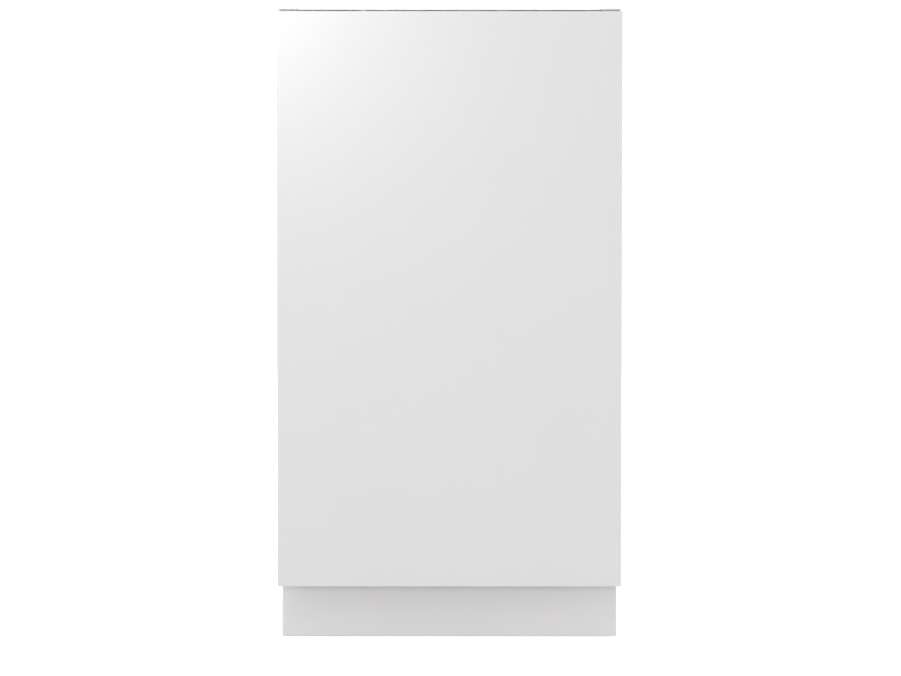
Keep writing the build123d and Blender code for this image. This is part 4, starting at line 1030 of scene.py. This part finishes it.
def rim_grip(name, node, rim):
    """Moulded grip over the front rim of a basket, hollowed for the fingers."""
    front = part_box(node)[0].y
    bar = block(name, (-0.066, front - 0.0012, rim - 0.012), (0.066, front + 0.0125, rim + 0.0075))
    bar = soften(inset(round_along(bar, 1, 0.006), facing(FORWARD), 0.0035, -0.0016), 0.0012)
    ribs = []
    for step in range(-6, 7):
        x = step * 0.0072
        low, high = (x - 0.0011, front - 0.0008, rim - 0.0075), (x + 0.0011, front + 0.001, rim + 0.003)
        ribs.append(slab("rib", low, high, 0.0005))
    fit(name, [bar, *ribs], "grey_plastic", node)


def wheel_carriers():
    """Arched holders between the lower basket and its wheels."""
    carriers = []
    for node in WHEELS:
        _, y, z = middle_of(node)
        arch = block("wheel_carriers", (0.176, y - 0.0162, z - 0.0092), (0.18785, y + 0.0162, z + 0.0312))
        carriers.append(soften(inset(round_along(arch, 0, 0.008), facing(RIGHT), 0.004, -0.0006), 0.0012, 2))
    fit("wheel_carriers", [with_mirror(joined("wheel_carriers", carriers))], "grey_plastic", "lower_basket")


def rail_holders():
    """Holders of the upper basket on its rails, with a small recess each."""
    holders = []
    for y in (-0.14, 0.15):
        middle = Vector((0.172, y, 0.565))
        holder = block("rail_holders", (middle.x, y - 0.0155, 0.5478), (0.1855, y + 0.0155, 0.5822))
        holder = inset(round_along(holder, 0, 0.005), facing(LEFT), 0.004, 0.0)

        def inner_face(centre, normal):
            return normal.x < -0.9 and (centre - middle).length < 0.004

        holders.append(soften(push(holder, inner_face, (0.0012, 0, 0)), 0.001, 2))
    fit("rail_holders", [with_mirror(joined("rail_holders", holders))], "grey_plastic", "upper_basket")


def tine_tips():
    """Rounded tips on the tines of both baskets."""
    ball = tip_ball(0.0026)
    row = [TINE_Y0 + TINE_PITCH * n for n in range(10)]
    short = [(x + 0.008, -0.11 + 0.04 * n, 0.544) for x in SHORT_TINE_XS for n in range(8)]
    for name, places, body in (
        ("tine_tips", [(FIXED_TINE_X, y, TINE_TOP) for y in row], "lower_basket"),
        ("folding_tips", [(FOLD_X, y, TINE_TOP) for y in row], "folding_tines"),
        ("short_tips", short, "upper_basket"),
    ):
        fit(name, [copied(ball, at) for at in places], "grey_coated_wire", body)
    bpy.data.objects.remove(ball)


def tip_ball(radius):
    """Rounded plastic tip of a tine, drawn down a little over the wire."""
    fresh()
    bpy.ops.mesh.primitive_uv_sphere_add(segments=14, ring_count=10, radius=radius)
    ball = settle("tip")
    choose(ball, lambda centre, normal: centre.z < -0.0002)
    bpy.ops.transform.translate(value=(0, 0, -0.004))
    bpy.ops.object.mode_set(mode="OBJECT")
    return smooth(ball, 60)


def runner_caps():
    """Moulded end caps on the front of the telescopic rails' middle members."""
    y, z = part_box("rail_runners")[0].y, middle_of("rail_runners").z
    cap = block("runner_caps", (0.1918, y - 0.003, z - 0.0096), (0.2026, y + 0.006, z + 0.0096))
    cap = soften(inset(round_along(cap, 1, 0.003), facing(FORWARD), 0.0018, -0.0008), 0.0008, 2)
    fit("runner_caps", [with_mirror(cap)], "grey_plastic", "rail_runners")


def wheel_hubs():
    """Spokes and a hub ring in the hollow of each wheel's outer face, and rings on its tread."""
    for node in WHEELS:
        centre = middle_of(node)
        centre.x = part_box(node)[1].x - 0.0015
        name = node + "_spokes"
        spoke = slab(name, centre + mm(-1.8, -1.2, 7), centre + mm(1.1, 1.2, 16.6), 0.0005)
        pieces = spread(spoke, centre, RIGHT, 6)
        pieces.append(ring("hub", centre + mm(1.4, 0, 0), RIGHT, 0.0077, 0.0009, 40))
        for x in (0.191, 0.194, 0.197):
            pieces.append(ring("tread", (x, centre.y, centre.z), RIGHT, 0.0196, 0.0006, 64))
        fit(name, [with_mirror(joined(name, pieces))], "grey_plastic", node)


# Details of the back, the top and the base


def back_details():
    """Pressed ridges, louvres and a bare plate."""
    face = BACK_FACE
    ridges = [
        ridge("back_ridges", (x, face - ROOT, low), (x + wide, face, high), BACKWARD, *shape)
        for xs, low, high, wide, shape in (
            ((-0.16, 0.136), 0.27, 0.78, 0.024, WIDE_BACK_RIDGE),
            ((-0.06, 0.04), 0.33, 0.66, 0.02, NARROW_BACK_RIDGE),
        )
        for x in xs
    ]
    for x in range(-150, 151, 60):
        for z in (180, 196, 212):
            sheet = Vector((0, face, 0))
            hood = block("louvre", sheet + mm(x - 19.5, -1.2, z + 3.4), sheet + mm(x + 19.5, 1.6, z + 7.4))
            ridges.append(soften(squeeze(hood, facing(UP), (1, 0.35, 1), (0, face - ROOT, 0)), 0.0006, 2))
    fit("back_ridges", ridges, "galvanised", "cabinet")
    plate = block("bare_plate", (-0.045, face - 0.0004, 0.7), (0.045, face + 0.0006, 0.75))
    plate = soften(round_along(plate, 1, 0.004), 0.0003, 2)
    fit("bare_plate", [plate], "silver_plastic", "cabinet")


def side_fields():
    """Rounded edge and three long beads in each pressed field of the side panels."""
    shapes = []
    turn = Matrix.Translation((FIELD_FACE, FIELD_MIDDLE, 0)) @ Matrix.Rotation(math.radians(90), 4, UP)
    for z in FIELD_BOTTOMS:
        wide, high = FIELD_LONG - 0.003, FIELD_HIGH - 0.003
        edge = bead("side_ridges", (0, 0, z + FIELD_HIGH / 2), wide, high, 0.006, 0.0004)
        edge.data.transform(turn)
        shapes.append(edge)
        for rise in (0.012, 0.0265, 0.041):
            near = (FIELD_FACE - ROOT, FIELD_MIDDLE - FIELD_LONG / 2 + 0.02, z + rise)
            far = (FIELD_FACE, FIELD_MIDDLE + FIELD_LONG / 2 - 0.02, z + rise + 0.007)
            shapes.append(ridge("side_ridges", near, far, RIGHT, *FIELD_BEAD))
    fit("side_ridges", [with_mirror(joined("side_ridges", shapes))], "galvanised", "cabinet")


def water_connections():
    """Thread and sieve of the inlet, barbs of the drain spigot, nut and insert of the cable gland."""
    end = Vector((INLET.x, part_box("inlet_valve")[1].y, INLET.z))
    turns, steps, long, radius = 8, 24, 0.0172, 0.0131
    helix = []
    for n in range(turns * steps + 1):
        angle = math.tau * n / steps
        along = long * n / (turns * steps) - 0.0185
        helix.append(end + Vector((radius * math.cos(angle), along, radius * math.sin(angle))))
    fit("inlet_thread", [bar_along("inlet_thread", helix, 0.0007, 2, 60)], "white_plastic", "cabinet")
    sieve = [ring("inlet_sieve", end - mm(0, 4, 0), BACKWARD, 0.0078, 0.0011, 40)]
    for z in (-4.5, -1.5, 1.5, 4.5):
        sieve.append(slab("bar", end + mm(-8, -4.6, z - 0.5), end + mm(8, -3.6, z + 0.5), 0.0002, 1))
    fit("inlet_sieve", sieve, "blue_plastic", "cabinet")
    barbs = []
    for y in (0.2685, 0.2745, 0.2805):
        start, stop = (DRAIN.x, y - 0.0022, DRAIN.z), (DRAIN.x, y + 0.0022, DRAIN.z)
        barbs.append(soften(rod("drain_barbs", start, stop, 0.0112, 40, tip=0.0098), 0.0003, 2))
    spigot = joined("drain_barbs", barbs)
    carve(spigot, rod("bore", (DRAIN.x, 0.26, DRAIN.z), (DRAIN.x, 0.29, DRAIN.z), 0.0085, 40))
    fit("drain_barbs", [spigot], "grey_plastic", "cabinet")
    x, z = GLAND.x, GLAND.z
    nut = soften(rod("gland_nut", (x, 0.2655, z), (x, 0.2735, z), 0.0118, 6), 0.0008, 2)
    dome = soften(rod("dome", (x, 0.273, z), (x, 0.2768, z), 0.0096, 40, tip=0.0078), 0.0006, 2)
    fit("gland_nut", [nut, dome], "dark_plastic", "cabinet")
    insert = collar("gland_insert", (x, 0.2764, z), BACKWARD, 0.0062, 0.0014, 0.0016)
    fit("gland_insert", [insert], "black_rubber", "cabinet")


def top_details():
    """Foil tapes and stitched edges on the felt over the tub."""
    low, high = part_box("tub_insulation")
    tapes = []
    for y in (-0.12, 0.05, 0.2):
        near, far = (low.x + 0.02, y - 0.0125, high.z - 0.0004), (high.x - 0.02, y + 0.0125, high.z + 0.0004)
        tapes.append(soften(round_along(block("felt_tapes", near, far), 2, 0.003), 0.0002, 1))
    fit("felt_tapes", tapes, "stainless", "cabinet", "foil_tape")
    start, seam_gap, pitch = Vector((-0.178, -0.15, high.z)), 0.356, 0.0122
    stitch = ridge("felt_stitches", start - mm(1.1, 0, 0.6), start + mm(1.1, 6.8, 0), UP, *STITCH)
    seams = [copied(stitch, (x, pitch * n, 0)) for x in (0, seam_gap) for n in range(33) if x or n]
    fit("felt_stitches", [stitch, *seams], "felt", "cabinet", "grey_rubber")


def tray_ribs():
    """Upright ribs on the base tray's walls, rolled edges, and ribs under its floor."""
    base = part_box("base_tray")[0].z
    wall, rear = TRAY_X, TRAY_REAR
    ribs = []
    for step in range(11):
        y = -0.18 + step * 0.0405
        rib = block("tray_ribs", (wall - ROOT, y - 0.0015, base + ROOT), (wall + 0.0028, y + 0.0015, 0.0725))
        ribs.append(soften(squeeze(rib, facing(DOWN), (0.3, 1, 1), (wall, 0, 0)), 0.0006, 2))
    ribs.append(slab("edge", (wall - ROOT, -0.19, base), (wall + 0.003, 0.248, base + 0.004), 0.0012))
    parts = [with_mirror(joined("tray_ribs", ribs))]
    for x in (-0.2, -0.11, -0.075, -0.035, 0.035, 0.075, 0.135, 0.203):
        low, high = (x - 0.0015, rear - ROOT, base + ROOT), (x + 0.0015, rear + 0.009, 0.11)
        parts.append(slab("rear_rib", low, high, 0.0006))
    parts.append(slab("rear_edge", (-0.204, rear - ROOT, 0.1085), (0.204, rear + 0.0095, 0.1115), 0.001))
    low, high = (-0.204, rear - ROOT, base), (0.204, rear + 0.004, base + 0.004)
    parts.append(slab("rear_foot_edge", low, high, 0.0012))
    spans = [(x - 0.0015, -0.19, x + 0.0015, 0.208) for x in (-0.12, -0.04, 0.04, 0.12)]
    spans += [(-0.2, y - 0.0015, 0.2, y + 0.0015) for y in (-0.13, -0.05, 0.03, 0.11, 0.19)]
    parts += [slab("belly", (a, b, base - 0.003), (c, d, base + ROOT), 0.0006) for a, b, c, d in spans]
    fit("tray_ribs", parts, "dark_plastic", "cabinet")


def foot_grips():
    """Finger ribs and the start of the thread on each levelling foot."""
    for node in FEET:
        centre = middle_of(node)
        centre.z = 0
        rib = slab(node + "_grips", centre + mm(18.8, -1.4, 1.6), centre + mm(20.8, 1.4, 6.4), 0.0007)
        ribs = spread(rib, centre, UP, 20)
        thread = [ring("thread", centre + mm(0, 0, z), UP, 0.005, 0.0006, 24) for z in range(17, 20)]
        fit(node + "_grips", ribs + thread, "dark_plastic", node)


# Studio


def seen_rays(tree):
    """1 for rays from the camera and for those that metal and glass send on, else 0."""
    rays = tree.nodes.new("ShaderNodeLightPath")
    mirrored = arithmetic(tree, "MAXIMUM", rays.outputs["Is Glossy Ray"], rays.outputs["Is Transmission Ray"])
    return arithmetic(tree, "MAXIMUM", rays.outputs["Is Camera Ray"], mirrored)


def white_for_camera(tree, lit, camera_white):
    """Mix of a lit shader and plain white, where only the camera and reflections see the white."""
    white = tree.nodes.new("ShaderNodeEmission")
    white.inputs["Strength"].default_value = camera_white
    extra = tree.nodes.new("ShaderNodeAddShader")
    mix = tree.nodes.new("ShaderNodeMixShader")
    tree.links.new(lit, extra.inputs[0])
    tree.links.new(white.outputs[0], extra.inputs[1])
    tree.links.new(seen_rays(tree), mix.inputs[0])
    tree.links.new(lit, mix.inputs[1])
    tree.links.new(extra.outputs[0], mix.inputs[2])
    return mix.outputs[0]


def floor():
    """Plain pale floor, near white to the camera but for the object's shadow, and clear from below."""
    bpy.ops.mesh.primitive_plane_add(size=FLOOR_SIZE)
    plane = settle("studio_floor")
    pale = bpy.data.materials.new("pale_floor")
    pale.use_nodes = True
    tree = pale.node_tree
    surface = tree.nodes["Principled BSDF"]
    surface.inputs["Base Color"].default_value = (*FLOOR_PALE, 1)
    surface.inputs["Roughness"].default_value = 0.9
    surface.inputs["Specular IOR Level"].default_value = 0.0
    lit = white_for_camera(tree, surface.outputs[0], FLOOR_WHITE)
    side = tree.nodes.new("ShaderNodeNewGeometry")
    clear = tree.nodes.new("ShaderNodeBsdfTransparent")
    mix = tree.nodes.new("ShaderNodeMixShader")
    tree.links.new(side.outputs["Backfacing"], mix.inputs[0])
    tree.links.new(lit, mix.inputs[1])
    tree.links.new(clear.outputs[0], mix.inputs[2])
    tree.links.new(mix.outputs[0], tree.nodes["Material Output"].inputs["Surface"])
    plane.data.materials.append(pale)


def world():
    """Even white room light. The camera and reflections see plain white."""
    scene = bpy.context.scene
    scene.world = bpy.data.worlds.new("studio")
    scene.world.use_nodes = True
    tree = scene.world.node_tree
    back = tree.nodes["Background"]
    back.inputs["Color"].default_value = (1, 1, 1, 1)
    strength = arithmetic(tree, "MAXIMUM", seen_rays(tree), ROOM_LIGHT)
    tree.links.new(strength, back.inputs["Strength"])


def lamp(name, spot, target, size, power, mirrored):
    """A square soft lamp that points at a target."""
    fresh()
    bpy.ops.object.light_add(type="AREA", location=spot)
    light = bpy.context.object
    light.name = name
    light.data.size = size
    light.data.energy = power
    light.visible_glossy = mirrored
    light.rotation_euler = (Vector(target) - Vector(spot)).to_track_quat("-Z", "Y").to_euler()


def studio():
    """Floor, surroundings and lamps."""
    floor()
    world()
    for row in LAMPS:
        lamp(*row)
    bpy.context.scene.view_settings.view_transform = "Standard"


def camera():
    """Camera at the photo's angle."""
    bpy.ops.object.camera_add()
    eye = bpy.context.object
    eye.name = "photo_camera"
    eye.location = (CAMERA_SIDE, FRONT - CAMERA_DISTANCE, CAMERA_HEIGHT)
    eye.rotation_euler = (math.radians(90 - CAMERA_TILT), math.radians(CAMERA_ROLL), 0)
    eye.data.lens = CAMERA_LENS
    eye.data.sensor_width = CAMERA_SENSOR
    eye.data.clip_end = CAMERA_REACH
    bpy.context.scene.camera = eye


camera()
studio()
dress_cad()
crossbar_details()
power_mark()
start_mark()
program_mark()
display_digits()
status_lights()
liner_details()
dispenser_details()
tub_ribs()
side_inlet()
float_cap()
arm_details("lower_spray_arm", LOWER_ARM_TOP, 0.178, (1,), 1, 0.02)
arm_details("upper_spray_arm", UPPER_ARM_TOP, 0.17, (1, -1), -1, 0.016)
ceiling_jets()
filter_details()
cutlery_lattice()
rim_grip("upper_grip", "upper_basket", UPPER_RIM)
rim_grip("lower_grip", "lower_basket", LOWER_RIM)
wheel_carriers()
rail_holders()
tine_tips()
runner_caps()
wheel_hubs()
back_details()
side_fields()
water_connections()
top_details()
tray_ribs()
foot_grips()
